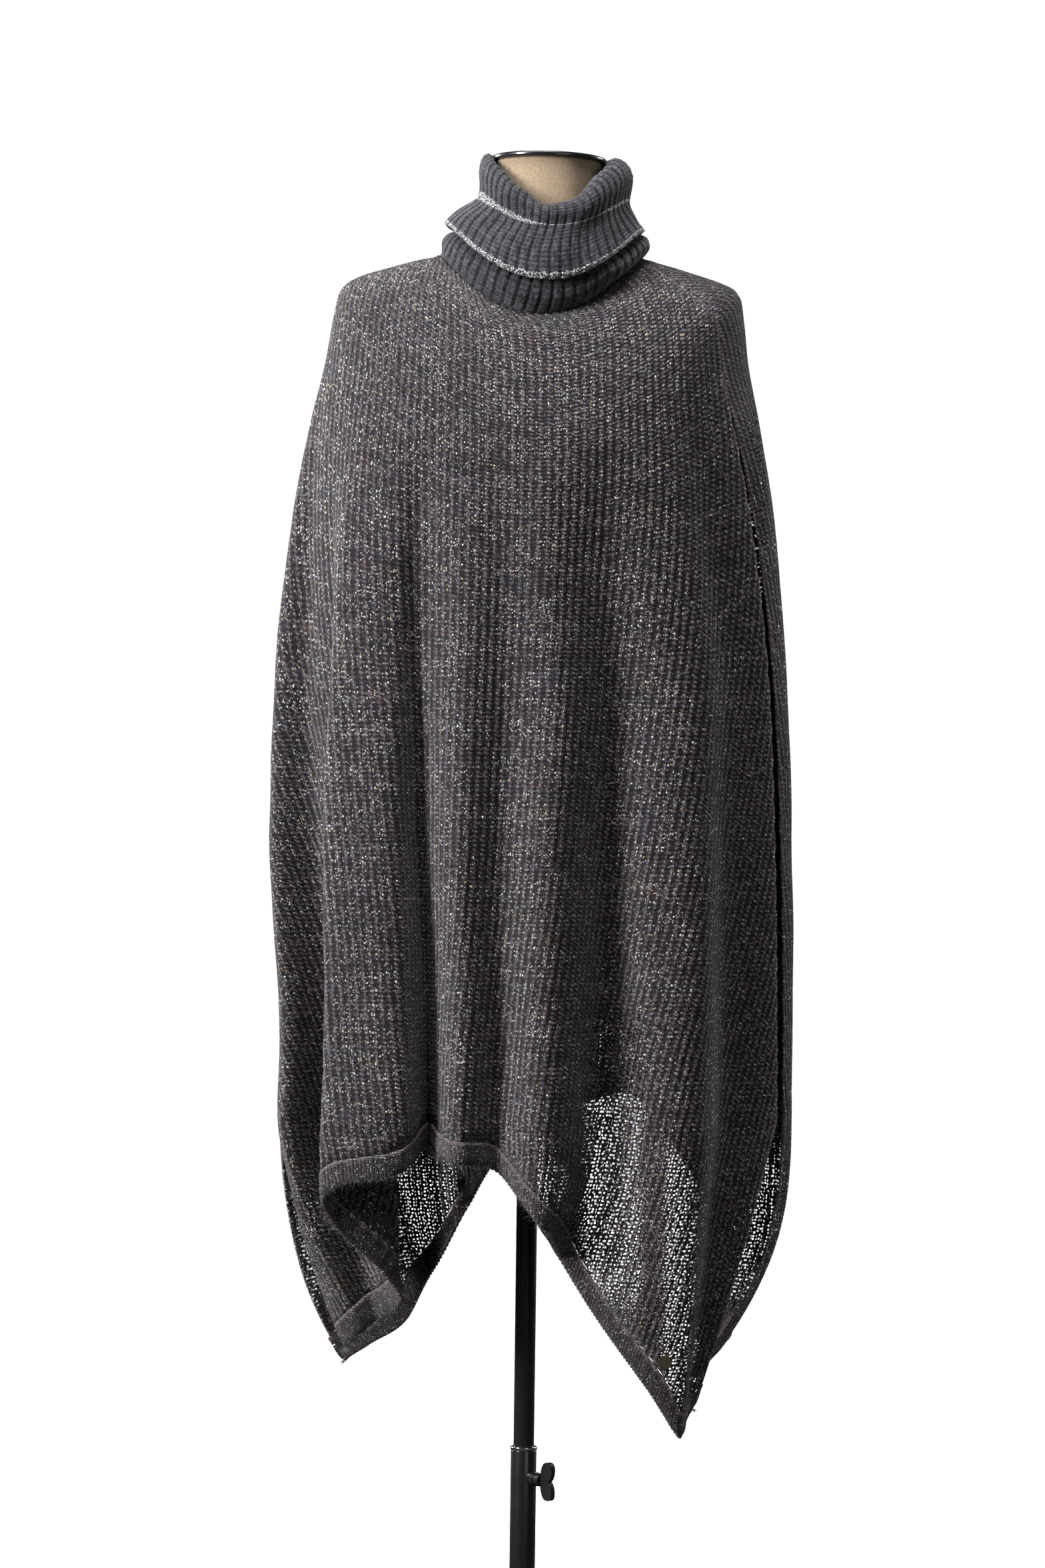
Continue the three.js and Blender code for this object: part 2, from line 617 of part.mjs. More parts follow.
function alongScrew(name, geometry, material) {
  const mesh = new THREE.Mesh(geometry, material)
  mesh.name = name
  screw.add(mesh)
  return mesh
}

const bossStart = sleeveRadius + seamGap
const headStart = bossStart + bossLength + seamGap
const toAxis = (geometry) => geometry.rotateY(Math.PI / 2)
const boss = pipe(screwRadius + seamGap, bossRadius, bossStart, bossStart + bossLength, screwSides)
alongScrew('screw_boss', toAxis(boss), blackMetal)
alongScrew('clamp_screw', toAxis(turned([
  [0, bossStart],
  [screwRadius, bossStart],
  [screwRadius, headStart],
  [screwHeadRadius, headStart],
  [screwHeadRadius, headStart + screwHeadLength],
  [0, headStart + screwHeadLength],
], screwSides)), blackPlastic)

// The wing's outline has two round ears
function wingOutline() {
  const half = wingSpan / 2
  const ear = wingDepth * 0.42
  const outline = new THREE.Shape()
  outline.moveTo(0, -half * 0.35)
  outline.quadraticCurveTo(wingDepth * 0.1, -half, wingDepth - ear, -half)
  outline.quadraticCurveTo(wingDepth, -half, wingDepth, -half * 0.62)
  outline.quadraticCurveTo(wingDepth, -half * 0.2, wingDepth * 0.72, 0)
  outline.quadraticCurveTo(wingDepth, half * 0.2, wingDepth, half * 0.62)
  outline.quadraticCurveTo(wingDepth, half, wingDepth - ear, half)
  outline.quadraticCurveTo(wingDepth * 0.1, half, 0, half * 0.35)
  outline.closePath()
  return outline
}

const wingShape = new THREE.ExtrudeGeometry(wingOutline(),
  { depth: wingThick, bevelEnabled: false, curveSegments: 5 })
wingShape.translate(0, 0, -wingThick / 2).rotateX(Math.PI / 2)
const wing = alongScrew('clamp_wing', wingShape, blackPlastic)
wing.position.x = headStart + screwHeadLength + seamGap

export default part
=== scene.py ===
import math

import bmesh
import bpy
import numpy as np
from mathutils import Matrix, Vector


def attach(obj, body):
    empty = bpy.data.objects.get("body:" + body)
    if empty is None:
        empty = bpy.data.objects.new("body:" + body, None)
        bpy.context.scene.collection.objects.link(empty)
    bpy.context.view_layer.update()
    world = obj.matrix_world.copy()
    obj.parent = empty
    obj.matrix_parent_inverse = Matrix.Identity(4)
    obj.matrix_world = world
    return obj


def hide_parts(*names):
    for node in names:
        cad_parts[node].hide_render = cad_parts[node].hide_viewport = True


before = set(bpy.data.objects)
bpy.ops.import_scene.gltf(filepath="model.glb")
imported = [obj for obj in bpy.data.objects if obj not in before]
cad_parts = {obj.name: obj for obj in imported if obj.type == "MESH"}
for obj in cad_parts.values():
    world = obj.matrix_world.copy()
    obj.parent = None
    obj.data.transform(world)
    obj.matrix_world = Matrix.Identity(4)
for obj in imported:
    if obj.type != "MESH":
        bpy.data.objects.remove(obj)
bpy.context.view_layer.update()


# Front and back panel of the poncho. Each is one rib-knit rectangle of mohair and metallic yarn.
# They are sewn together along the neck's two sides down to the elbow and hang open below, in deep
# folds that the weight of the corners pulls out.

# Rings of the draped body, in metres: the way down from the neckline, the ring's heights at the
# front, side and back, its half widths left and right, its depths in front and behind, and in
# degrees from the front the places of the right and the left seam.
RING_COLUMNS = ("drop", "front", "side", "back", "left", "right", "chest", "nape", "seam_right", "seam_left")
BODY_RINGS = (
    (0, 1.433, 1.498, 1.49, 0.1, 0.1, 0.082, 0.074, 74, 98),  # neckline
    (0.035, 1.417, 1.488, 1.476, 0.137, 0.134, 0.098, 0.088, 68, 101),  # inner shoulder
    (0.07, 1.39, 1.478, 1.46, 0.171, 0.167, 0.11, 0.097, 63, 103),  # outer shoulder
    (0.105, 1.36, 1.464, 1.432, 0.195, 0.196, 0.121, 0.104, 61, 105),  # shoulder point
    (0.14, 1.329, 1.434, 1.4, 0.203, 0.203, 0.13, 0.11, 61, 105),  # shoulder turn
    (0.18, 1.296, 1.39, 1.361, 0.21, 0.208, 0.136, 0.115, 61, 105),  # upper arm
    (0.23, 1.252, 1.33, 1.309, 0.223, 0.221, 0.14, 0.12, 61, 105),  # bust
    (0.3, 1.19, 1.246, 1.232, 0.237, 0.234, 0.143, 0.126, 62, 105),  # under bust
    (0.38, 1.116, 1.142, 1.135, 0.247, 0.245, 0.146, 0.132, 64, 105),  # elbow
    (0.45, 1.05, 1.05, 1.05, 0.252, 0.251, 0.15, 0.138, 66, 105),  # seam end
    (0.6, 0.9, 0.9, 0.9, 0.253, 0.257, 0.157, 0.148, 66, 105),  # hip
    (0.75, 0.75, 0.75, 0.75, 0.243, 0.26, 0.166, 0.16, 66, 105),  # thigh
    (0.9, 0.6, 0.6, 0.6, 0.244, 0.261, 0.178, 0.175, 66, 105),  # centre hem
    (1.05, 0.45, 0.45, 0.45, 0.24, 0.261, 0.187, 0.185, 66, 105),  # side
    (1.18, 0.32, 0.32, 0.32, 0.236, 0.26, 0.19, 0.19, 66, 105),  # tips
)
LEVEL_TOP = 1.5  # below the seams' end a height is this much less its drop

# Fold lines across a panel: the angle of each on the smooth upper body, its angle and how far it
# stands out of the ring at LOW_DROP, the same two at the hem, and the height of the hem there.
FOLD_COLUMNS = ("chest", "low", "low_out", "tip", "tip_out", "hem")
FOLDS = {
    "front": (
        (-105, -84, -0.003, -63.8, -0.043, 0.422),  # left side edge
        (-91, -68, 0.012, -58.5, -0.055, 0.44),  # outer ridge
        (-80, -73, -0.054, -57, -0.07, 0.452),  # under layer
        (-72, -50, -0.056, -47.5, -0.066, 0.464),  # tuck underside
        (-67, -41.7, -0.05, -41.9, -0.057, 0.476),  # tuck
        (-62, -42.5, -0.03, -43.5, -0.035, 0.505),  # tuck upper side
        (-55, -47.4, 0.006, -48, 0.004, 0.545),  # back of folded ridge
        (-50, -47.5, 0.027, -47.6, 0.024, 0.57),  # folded ridge
        (-45, -42.6, 0.028, -43, 0.025, 0.588),  # front of folded ridge
        (-37, -28.8, 0.006, -29.2, 0.005, 0.602),  # right edge of folded ridge
        (-30, -30.2, -0.055, -30.6, -0.055, 0.624),  # deep valley
        (-18, -16, 0.001, -16.5, 0.001, 0.612),  # left ridge
        (-8, -8, -0.027, -8, -0.027, 0.605),  # shallow valley
        (3, 3.5, 0.009, 2.5, 0.009, 0.556),  # middle ridge
        (16, 18.5, -0.048, 9.5, -0.054, 0.516),  # right valley
        (28, 26.3, 0.006, 28, -0.014, 0.4),  # broad ridge
        (38, 35.5, 0.02, 35, -0.004, 0.354),  # crest of broad ridge
        (47, 52.3, -0.022, 40.5, -0.022, 0.362),  # side valley
        (61, 74.2, -0.007, 44.1, -0.026, 0.377),  # right side edge
    ),
    "back": (
        (61, 84, -0.008, 72, -0.095, 0.395),  # right side edge
        (80, 98, 0.001, 96, -0.071, 0.415),  # right side ridge
        (100, 114, -0.028, 112.5, -0.051, 0.45),  # right side valley
        (119, 128, 0.008, 128.8, -0.01, 0.53),  # right ridge
        (139, 143, -0.04, 142, -0.036, 0.628),  # right valley
        (156, 158, 0.012, 158.5, 0.008, 0.66),  # inner right ridge
        (171, 172, -0.028, 172.7, -0.024, 0.638),  # middle valley
        (187, 187, 0.014, 185, 0.009, 0.598),  # middle ridge
        (202, 200, -0.036, 197.2, -0.032, 0.54),  # inner left valley
        (216, 213, 0.01, 207.2, -0.031, 0.476),  # left ridge
        (230, 227, -0.038, 225.1, -0.066, 0.432),  # left valley
        (243, 242, 0.012, 249, -0.07, 0.413),  # left side ridge
        (255, 262, 0.004, 271, -0.059, 0.402),  # left side edge
    ),
}
FOLD_START = 0.18
LOW_DROP = 0.85
FOLD_GROWTH = 0.9
SWING = {"front": (1.6, 0.9), "back": (2.6, 2.6)}  # across the panel, and at its right edge
EDGE_SWING_FROM = 0.75
PLUMB_X = {"front": -0.088, "back": 0.0}  # where a rib hangs plumb all the way down

PANEL_WALL = 0.0017
BAND_HEIGHT = 0.023
SEAM_GAP = 0.0003
RIB_PITCH = 0.0085
RIB_SECTION = (0.75, 1.0, 0.55, 0.0, 0.55, 1.0)  # a rib of two wales and the valley beside it
RIB_RELIEF = 0.0013
RIB_SINK = 0.0006
RIB_STRETCH = (0.97, 1.05)  # ribs to a metre of cloth at the neckline and at LOW_DROP, as a share
PANEL_ROWS = 74
SLOPE = 0.002  # the short way for reading a slope
PLAN_STEPS = 1401  # places across at which the columns of stitches are laid out
PLAN_LEVELS = 291
PLAN_DEPTH = 1.16
PLUMB_SEARCH = 0.05  # the plumb rib is looked for from this share past the panel's middle


def read_rows(rows, columns, key, at, name):
    """A column of a table between its rows, by a cubic through the rows on both sides."""
    places = np.array([row[columns.index(key)] for row in rows], float)
    values = np.array([row[columns.index(name)] for row in rows], float)
    return read_curve(places, values, at)


def read_curve(places, values, at):
    slopes = np.empty_like(values)
    slopes[1:-1] = (values[2:] - values[:-2]) / (places[2:] - places[:-2])
    slopes[0] = (values[1] - values[0]) / (places[1] - places[0])
    slopes[-1] = (values[-1] - values[-2]) / (places[-1] - places[-2])
    low = np.clip(np.searchsorted(places, at, side="right") - 1, 0, len(places) - 2)
    span = places[low + 1] - places[low]
    t = np.clip((at - places[low]) / span, 0, 1)
    start, end = values[low], values[low + 1]
    ends = start * (2 * t**3 - 3 * t**2 + 1) + end * (3 * t**2 - 2 * t**3)
    return ends + span * (slopes[low] * (t**3 - 2 * t**2 + t) + slopes[low + 1] * (t**3 - t**2))


def ellipse_point(ring, angle, out, shift=0):
    """A ring's point: an ellipse in plan, whose height runs from its side to its front or back."""
    sine, cosine = np.sin(angle), np.cos(angle)
    wide = np.where(sine < 0, ring["left"], ring["right"])
    depth = np.where(cosine > 0, ring["chest"], ring["nape"])
    low = np.where(cosine > 0, ring["front"], ring["back"])
    height = ring["side"] + (low - ring["side"]) * cosine**2
    return np.stack([shift + (wide + out) * sine, -(depth + out) * cosine, height], axis=-1)


def body_ring(drop):
    return {name: read_rows(BODY_RINGS, RING_COLUMNS, "drop", drop, name) for name in RING_COLUMNS[1:]}


def fold_places(side):
    """Where the fold lines lie across the cloth, from 0 to 1.

    Each place is the mean of the cloth's lengths low down and at the hem.
    """
    low, low_out, tip, tip_out, hem = (np.array([fold[i] for fold in FOLDS[side]]) for i in range(1, 6))
    ways = (
        ellipse_point(body_ring(LOW_DROP), np.radians(low), low_out),
        ellipse_point(body_ring(LEVEL_TOP - hem), np.radians(tip), tip_out),
    )
    lengths = sum(np.linalg.norm(np.diff(way, axis=0), axis=1) for way in ways)
    across = np.concatenate([[0], np.cumsum(lengths)])
    return across / across[-1]


FOLD_PLACES = {side: fold_places(side) for side in FOLDS}


def read_fold(side, across, name):
    values = np.array([fold[FOLD_COLUMNS.index(name)] for fold in FOLDS[side]], float)
    return read_curve(FOLD_PLACES[side], values, across)


def hem_drop(side, across):
    return LEVEL_TOP - read_fold(side, across, "hem")


def draped(side, across, drop):
    """The points of a panel's outer face at places across it and drops down it."""
    ring = body_ring(drop)
    first = -ring["seam_left"] if side == "front" else ring["seam_right"]
    last = ring["seam_right"] if side == "front" else 360 - ring["seam_left"]
    ends = FOLDS[side][0][0], FOLDS[side][-1][0]
    turned = (read_fold(side, across, "chest") - ends[0]) / (ends[1] - ends[0])
    chest = first + (last - first) * turned
    folded = np.clip((drop - FOLD_START) / (LOW_DROP - FOLD_START), 0, 1) ** FOLD_GROWTH
    below = np.maximum(hem_drop(side, across) - LOW_DROP, 0.001)
    near_edge = np.clip((across - EDGE_SWING_FROM) / (1 - EDGE_SWING_FROM), 0, 1)
    swing = SWING[side][0] + (SWING[side][1] - SWING[side][0]) * near_edge
    swung = np.clip((drop - LOW_DROP) / below, 0, 1) ** swing
    low, tip = read_fold(side, across, "low"), read_fold(side, across, "tip")
    low_out, tip_out = read_fold(side, across, "low_out"), read_fold(side, across, "tip_out")
    angle = chest + (low + (tip - low) * swung - chest) * folded
    return ellipse_point(ring, np.radians(angle), (low_out + (tip_out - low_out) * swung) * folded)


def outward(side, across, drop):
    """The direction out of the cloth."""
    leftward = draped(side, np.maximum(across - SLOPE, 0), drop)
    right = draped(side, np.minimum(across + SLOPE, 1), drop) - leftward
    down = draped(side, across, drop + SLOPE) - draped(side, across, np.maximum(drop - SLOPE, 0))
    normal = np.cross(down, right)
    return normal / np.linalg.norm(normal, axis=-1, keepdims=True)


def cloth_plan(side):
    """Where each column of stitches runs.

    The columns start at the neckline or, further out, where the seam and then the side edge cuts
    them, and end at the band. Returns each column's place in the knitting, its start and its end as
    drops, and a function that gives its place across the panel at a drop.
    """
    edge = SEAM_GAP / 2
    across = np.linspace(edge, 1 - edge, PLAN_STEPS)
    levels = np.linspace(0, PLAN_DEPTH, PLAN_LEVELS)
    points = draped(side, across[None, :], levels[:, None])
    strides = np.linalg.norm(np.diff(points, axis=1), axis=2)
    arc = np.concatenate([np.zeros((len(levels), 1)), np.cumsum(strides, axis=1)], axis=1)
    middle = len(across) // 2 + int(PLUMB_SEARCH * len(across))
    passed = points[:, middle::-1, 0] * (1 if side == "front" else -1) < PLUMB_X[side]
    plumb = middle - passed.argmax(axis=1)
    arc -= arc[np.arange(len(levels)), plumb, None]
    knit = arc * np.interp(levels, [0, LOW_DROP], RIB_STRETCH)[:, None]
    low = np.searchsorted(levels, LOW_DROP)
    for end, past in ((0, knit < 0), (-1, knit >= 0)):
        share = np.ones(len(levels))
        share[low:] = knit[low, end] / knit[low:, end]
        knit = np.where(past, knit * share[:, None], knit)
    step = RIB_PITCH / len(RIB_SECTION)
    first, last = int(knit[low, 0] / step), int(knit[low, -1] / step)
    columns = np.arange(first, last + 1) * step
    table = np.array([np.interp(columns, row, across) for row in knit])
    left, right = np.maximum.accumulate(-knit[:, 0]), np.maximum.accumulate(knit[:, -1])
    start = np.where(columns < 0, np.interp(-columns, left, levels), np.interp(columns, right, levels))

    def place(drop):
        """The columns' places across at drops, one row of drops for each row asked for."""
        at = np.clip(np.asarray(drop) / levels[1], 0, len(levels) - 1.001)
        row = at.astype(int)
        each = np.arange(len(columns))
        return table[row, each] * (1 - at + row) + table[row + 1, each] * (at - row)

    past_hem = levels[:, None] - hem_drop(side, table) > 0
    row = np.maximum(past_hem.argmax(axis=0), 1)
    each = np.arange(len(columns))
    after = levels[row] - hem_drop(side, table[row, each])
    before = levels[row - 1] - hem_drop(side, table[row - 1, each])
    end = levels[row - 1] + (levels[row] - levels[row - 1]) * np.clip(-before / (after - before), 0, 1)
    return columns, start, end, place


def sheet_object(name, points, uv, extra=None):
    """A smooth grid of faces laid over rows of points, with its UV map in metres of cloth."""
    rows, columns = points.shape[:2]
    grid = bmesh.new()
    bmesh.ops.create_grid(grid, x_segments=columns - 1, y_segments=rows - 1, size=1)
    mesh = bpy.data.meshes.new(name)
    grid.to_mesh(mesh)
    grid.free()
    mesh.vertices.foreach_set("co", points[::-1].reshape(-1))
    mesh.polygons.foreach_set("use_smooth", np.ones(len(mesh.polygons), bool))
    corners = np.empty(len(mesh.loops), int)
    mesh.loops.foreach_get("vertex_index", corners)
    layer = mesh.uv_layers.new(name="cloth")
    layer.data.foreach_set("uv", uv[::-1].reshape(-1, 2)[corners].reshape(-1))
    for key, values in (extra or {}).items():
        mesh.attributes.new(key, "FLOAT", "POINT").data.foreach_set("value", values[::-1].reshape(-1))
    mesh.update()
    made = bpy.data.objects.new(name, mesh)
    bpy.context.scene.collection.objects.link(made)
    return made


def thicken(piece, wall):
    """Gives a sheet its wall, inwards from its outer face."""
    solid = piece.modifiers.new("wall", "SOLIDIFY")
    solid.thickness = wall
    solid.offset = -1
    solid.use_rim = True


class Wire:
    """A socket in a material. An expression on wires and numbers adds its Math nodes."""

    def __init__(self, tree, socket=None):
        self.tree = tree
        self.socket = socket

    def node(self, kind, settings, inputs, output=0):
        """Adds any node: its settings, or its ramp's stops, first, then its inputs' values and links."""
        made = self.tree.nodes.new(kind)
        for name, value in settings.items():
            if name == "stops":
                while len(made.color_ramp.elements) < len(value):
                    made.color_ramp.elements.new(0.5)
                for stop, (position, colour) in zip(made.color_ramp.elements, value):
                    stop.position, stop.color = position, colour
            else:
                setattr(made, name, value)
        for key, value in inputs.items():
            if isinstance(value, Wire):
                self.tree.links.new(value.socket, made.inputs[key])
            else:
                made.inputs[key].default_value = value
        return Wire(self.tree, made.outputs[output])

    def math(self, operation, *values):
        return self.node("ShaderNodeMath", {"operation": operation}, dict(enumerate(values)))

    def __add__(self, other):
        return self.math("ADD", self, other)

    def __sub__(self, other):
        return self.math("SUBTRACT", self, other)

    def __rsub__(self, other):
        return self.math("SUBTRACT", other, self)

    def __mul__(self, other):
        return self.math("MULTIPLY", self, other)

    def __truediv__(self, other):
        return self.math("DIVIDE", self, other)

    def __lt__(self, other):
        return self.math("LESS_THAN", self, other)

    __radd__ = __add__
    __rmul__ = __mul__

    def sine(self):
        return self.math("SINE", self)

    def size(self):
        return self.math("ABSOLUTE", self)

    def step(self, low, high):
        """0 up to low, 1 from high on, and a soft step between."""
        settings = {"interpolation_type": "SMOOTHSTEP"}
        return self.node("ShaderNodeMapRange", settings, {"Value": self, "From Min": low, "From Max": high})

    def blend(self, start, end, how="MIX"):
        """The colour from start to end by this wire. A Mix node's colours are its sockets 6 and 7."""
        settings = {"data_type": "RGBA", "blend_type": how}
        return self.node("ShaderNodeMix", settings, {0: self, 6: start, 7: end}, 2)

    def ramp(self, *stops):
        return self.node("ShaderNodeValToRGB", {"stops": stops}, {"Fac": self})

    def split(self, kind="ShaderNodeSeparateXYZ"):
        """The three numbers of a vector or, with ShaderNodeSeparateColor, of a colour."""
        return [self.node(kind, {}, {0: self}, part) for part in range(3)]

    def stretched(self, *scale):
        return self.node("ShaderNodeVectorMath", {"operation": "MULTIPLY"}, {0: self, 1: scale})

    def noise(self, scale, detail=2.0, roughness=0.5):
        inputs = {"Vector": self, "Scale": scale, "Detail": detail, "Roughness": roughness}
        return self.node("ShaderNodeTexNoise", {}, inputs)

    def cells(self, pitch, randomness=1.0, output="Distance"):
        inputs = {"Vector": self, "Scale": 1 / pitch, "Randomness": randomness}
        return self.node("ShaderNodeTexVoronoi", {"voronoi_dimensions": "2D"}, inputs, output)

    def bump(self, strength, distance):
        return self.node("ShaderNodeBump", {}, {"Strength": strength, "Distance": distance, "Height": self})


def new_material(name, fixed):
    """A material, its shader with the values that are fixed, and a wire to start expressions from."""
    material = bpy.data.materials.new(name)
    material.use_nodes = True
    shader = material.node_tree.nodes["Principled BSDF"]
    for key, value in fixed.items():
        shader.inputs[key].default_value = value
    return material, shader, Wire(material.node_tree)


def feed(shader, wires):
    for key, wire in wires.items():
        wire.tree.links.new(wire.socket, shader.inputs[key])


def on_cloth(start):
    """The piece's own map of its cloth, in metres along its courses and up its wales."""
    return start.node("ShaderNodeUVMap", {"uv_map": "cloth"}, {})


def on_piece(start):
    return start.node("ShaderNodeTexCoord", {}, {}, "Object")


def from_attribute(start, name):
    return start.node("ShaderNodeAttribute", {"attribute_name": name}, {}, "Fac")


WALE = RIB_PITCH / 2
COURSE = 0.0044
WOOL_DARK = (0.007, 0.006, 0.008, 1)
WOOL_MID = (0.024, 0.0205, 0.0235, 1)
WOOL_LIGHT = (0.150, 0.131, 0.139, 1)
TINT_BROWN = (1.2, 1.02, 0.95, 1)
TINT_PURPLE = (1.08, 0.95, 1.06, 1)
TINT_SLATE = (0.86, 1.0, 1.04, 1)
SILVER = (0.95, 0.94, 0.93, 1)
GOLD = (0.90, 0.68, 0.26, 1)
COPPER = (0.88, 0.55, 0.30, 1)
SPARK_CELLS = ((0.0029, 0.26, 0.24), (0.0018, 0.30, 0.22))  # pitch, size as a share of it, share lit
HOLE_CELL = 0.0037
HOLE_RADIUS = 0.31  # of a wide open hole, as a share of the cell
HOLE_SCATTER = 0.55
YARN_SWAY = 0.0022  # how far a wale wanders from its line
FIBRE_GRAIN = (1500, 420, 1)  # marks to a metre of cloth along the courses and up the wales
PATCH_GRAIN = (210, 120, 1)
STREAK_GRAIN = (14, 60, 1)
TINT_GRAIN = (22, 90, 1)
KNIT_BUMP = 0.0014
TURN = 2 * math.pi


def sparks(place, pitch, size, lit):
    """Flecks of the metallic yarn's own silver and gold, which crowd here and thin out there, and how bright
    each one is: a random brightness painted in as the glint each fleck catches.
    """
    dashes = place.stretched(1, 0.68, 1)
    chance, hue, power = dashes.cells(pitch, output="Color").split("ShaderNodeSeparateColor")
    dot = 1 - dashes.cells(pitch).step(size * 0.55, size)
    crowd = (place.noise(48, 3, 0.6) - 0.5) * 0.9
    # power sets each fleck's brightness: a painted glint, some flecks bright as if they caught the lamps,
    # others dim.
    return dot * (chance + crowd + lit - 1).step(-0.02, 0.03) * (power * power * 0.65 + 0.35), hue


def knit_material(name, wale, course, lurex, holes):
    fixed = {
        "Sheen Weight": 0.3,
        "Sheen Roughness": 0.45,
        "Sheen Tint": (0.75, 0.74, 0.76, 1),
        "Specular IOR Level": 0.2,
    }
    material, shader, start = new_material(name, fixed)
    place = on_cloth(start)
    along, up, _ = place.split()
    sway = along + (place.noise(80, 2) - 0.5) * YARN_SWAY
    rib = (sway * (TURN / (2 * wale)) + math.pi / 2).sine()
    loops = (sway * (TURN / wale) + math.pi / 2).sine()
    lean = (sway * (TURN / (2 * wale))).sine()
    courses = (up * (TURN / course) + lean * 0.9 + (place.noise(260, 2) - 0.5) * 4).sine()
    stitch = loops * 0.35 + courses * (0.6 + rib * 0.4)
    fibre = place.stretched(*FIBRE_GRAIN).noise(1, 3, 0.65)
    fuzz = place.noise(1100, 2, 0.7)
    patch = place.stretched(*PATCH_GRAIN).noise(1, 2, 0.6)
    streak = place.stretched(*STREAK_GRAIN).noise(1, 3, 0.6)
    tone = (fibre - 0.5) * 1.9 + (fuzz - 0.5) * 0.8 + (patch - 0.5) * 1.1 + (streak - 0.5) * 0.8
    # Painted edge light: the side edges, and the band's raised bound row and cast-off edge, are lightened as
    # if lit through their fuzz.
    trim = from_attribute(start, "trim")
    # rib * 0.2 paints shade into the valleys between the ribs and light onto their crests.
    tone = tone + stitch * 0.24 + rib * 0.2 + trim * 0.5 + 0.42
    wool = tone.ramp((0, WOOL_DARK), (0.5, WOOL_MID), (1, WOOL_LIGHT))
    tint = place.stretched(*TINT_GRAIN).noise(1, 3, 0.6)
    tint = tint.ramp((0.36, TINT_BROWN), (0.5, TINT_PURPLE), (0.66, TINT_SLATE))
    all_over = start.math("ADD", 1, 0)
    wool = all_over.blend(wool, tint, "MULTIPLY")
    shine = from_attribute(start, "lurex") * lurex
    colour, shown = wool, 0
    for pitch, size, lit in SPARK_CELLS:
        spark, hue = sparks(place, pitch, size, lit)
        yarn = hue.ramp((0, GOLD), (0.18, SILVER), (0.94, SILVER), (1, COPPER))
        colour = (spark * shine).blend(colour, yarn)
        shown = spark * shine + shown
    feed(
        shader,
        {
            "Base Color": colour,
            "Roughness": 0.95 - shown * 0.5,
            "Metallic": shown * 0.3,
            "Normal": (stitch * 0.7 + fuzz * 0.5 + fibre * 0.8).bump(1.0, KNIT_BUMP),
        },
    )
    if holes:
        web = place.cells(HOLE_CELL, randomness=HOLE_SCATTER) + (place.noise(420, 1) - 0.5) * 0.1
        feed(shader, {"Alpha": from_attribute(start, "open") * HOLE_RADIUS < web})
    return material


body_knit = knit_material("rib knit", WALE, COURSE, 1.0, True)


def lumps(along, down, size):
    """Gentle unevenness of hand-hung knitting."""
    waves = ((23, 11, 0.3), (-17, 19, 1.7), (41, -13, 4.1), (9, 31, 2.2), (-37, 27, 5.0))
    return size * sum(np.sin(a * along * 2.2 + b * down * 1.3 + c) for a, b, c in waves) / len(waves)


def window(value, low, high, soft):
    """1 between two values and 0 outside them, with soft ends."""
    return np.clip((value - low) / soft + 0.5, 0, 1) * np.clip((high - value) / soft + 0.5, 0, 1)


# Where the cloth is pulled open into a lace of holes: the stretch in x, that in height, and how open
OPEN_STRETCHES = {
    "front": (
        (0.052, 0.112, 0.47, 0.77, 1.0),  # over the right valley
        (0.0, 0.04, 0.56, 0.63, 0.85),  # on the middle ridge, over its hem
        (-0.04, -0.018, 0.63, 0.76, 0.6),  # down the shallow valley
        (0.128, 0.168, 0.38, 0.645, 0.9),  # beside the broad ridge's crest
        (-0.117, -0.101, 0.597, 0.635, 1.0),  # the slot beside the folded ridge
        (-0.27, -0.2, 0.45, 0.58, 1.0),  # near the left side edge
        (0.198, 0.236, 0.465, 0.585, 0.85),  # along the right side edge
    ),
    "back": (
        (0.03, 0.12, 0.65, 0.77, 0.62),  # behind the front's open stretch
        (-0.15, -0.07, 0.40, 0.60, 0.9),  # inside the left corner
        (0.18, 0.27, 0.45, 0.62, 1.0),  # beyond the front's right side edge
        (-0.27, -0.2, 0.45, 0.58, 1.0),  # near the left side edge
    ),
}
OPEN_SOFT = (0.014, 0.05)  # how softly a stretch ends in x and in height
EDGE_HOLES = (0.207, 0.228, 1.08, 1.37, 0.9)  # a thin line of them in the back, beside the right seam
EDGE_SOFT = (0.006, 0.06)
CLOSED_KNIT = 0.05  # how open the rest of the cloth is
DULL_STRIP = (0.06, 1.25, 0.4)  # the back's strip there: in front of this Y, over this height, its lurex
LUMP_SIZE = 0.0014
LUMP_FADE = 6  # the unevenness grows over the first part in six of a column's length
SELVEDGE = 0.004  # width of the painted edge light along the bound side edges, as a share of the way across


def opened(x, height, stretch, soft):
    """How open the cloth is in one of these stretches."""
    left, right, low, high, share = stretch
    return share * window(x, left, right, soft[0]) * window(height, low, high, soft[1])


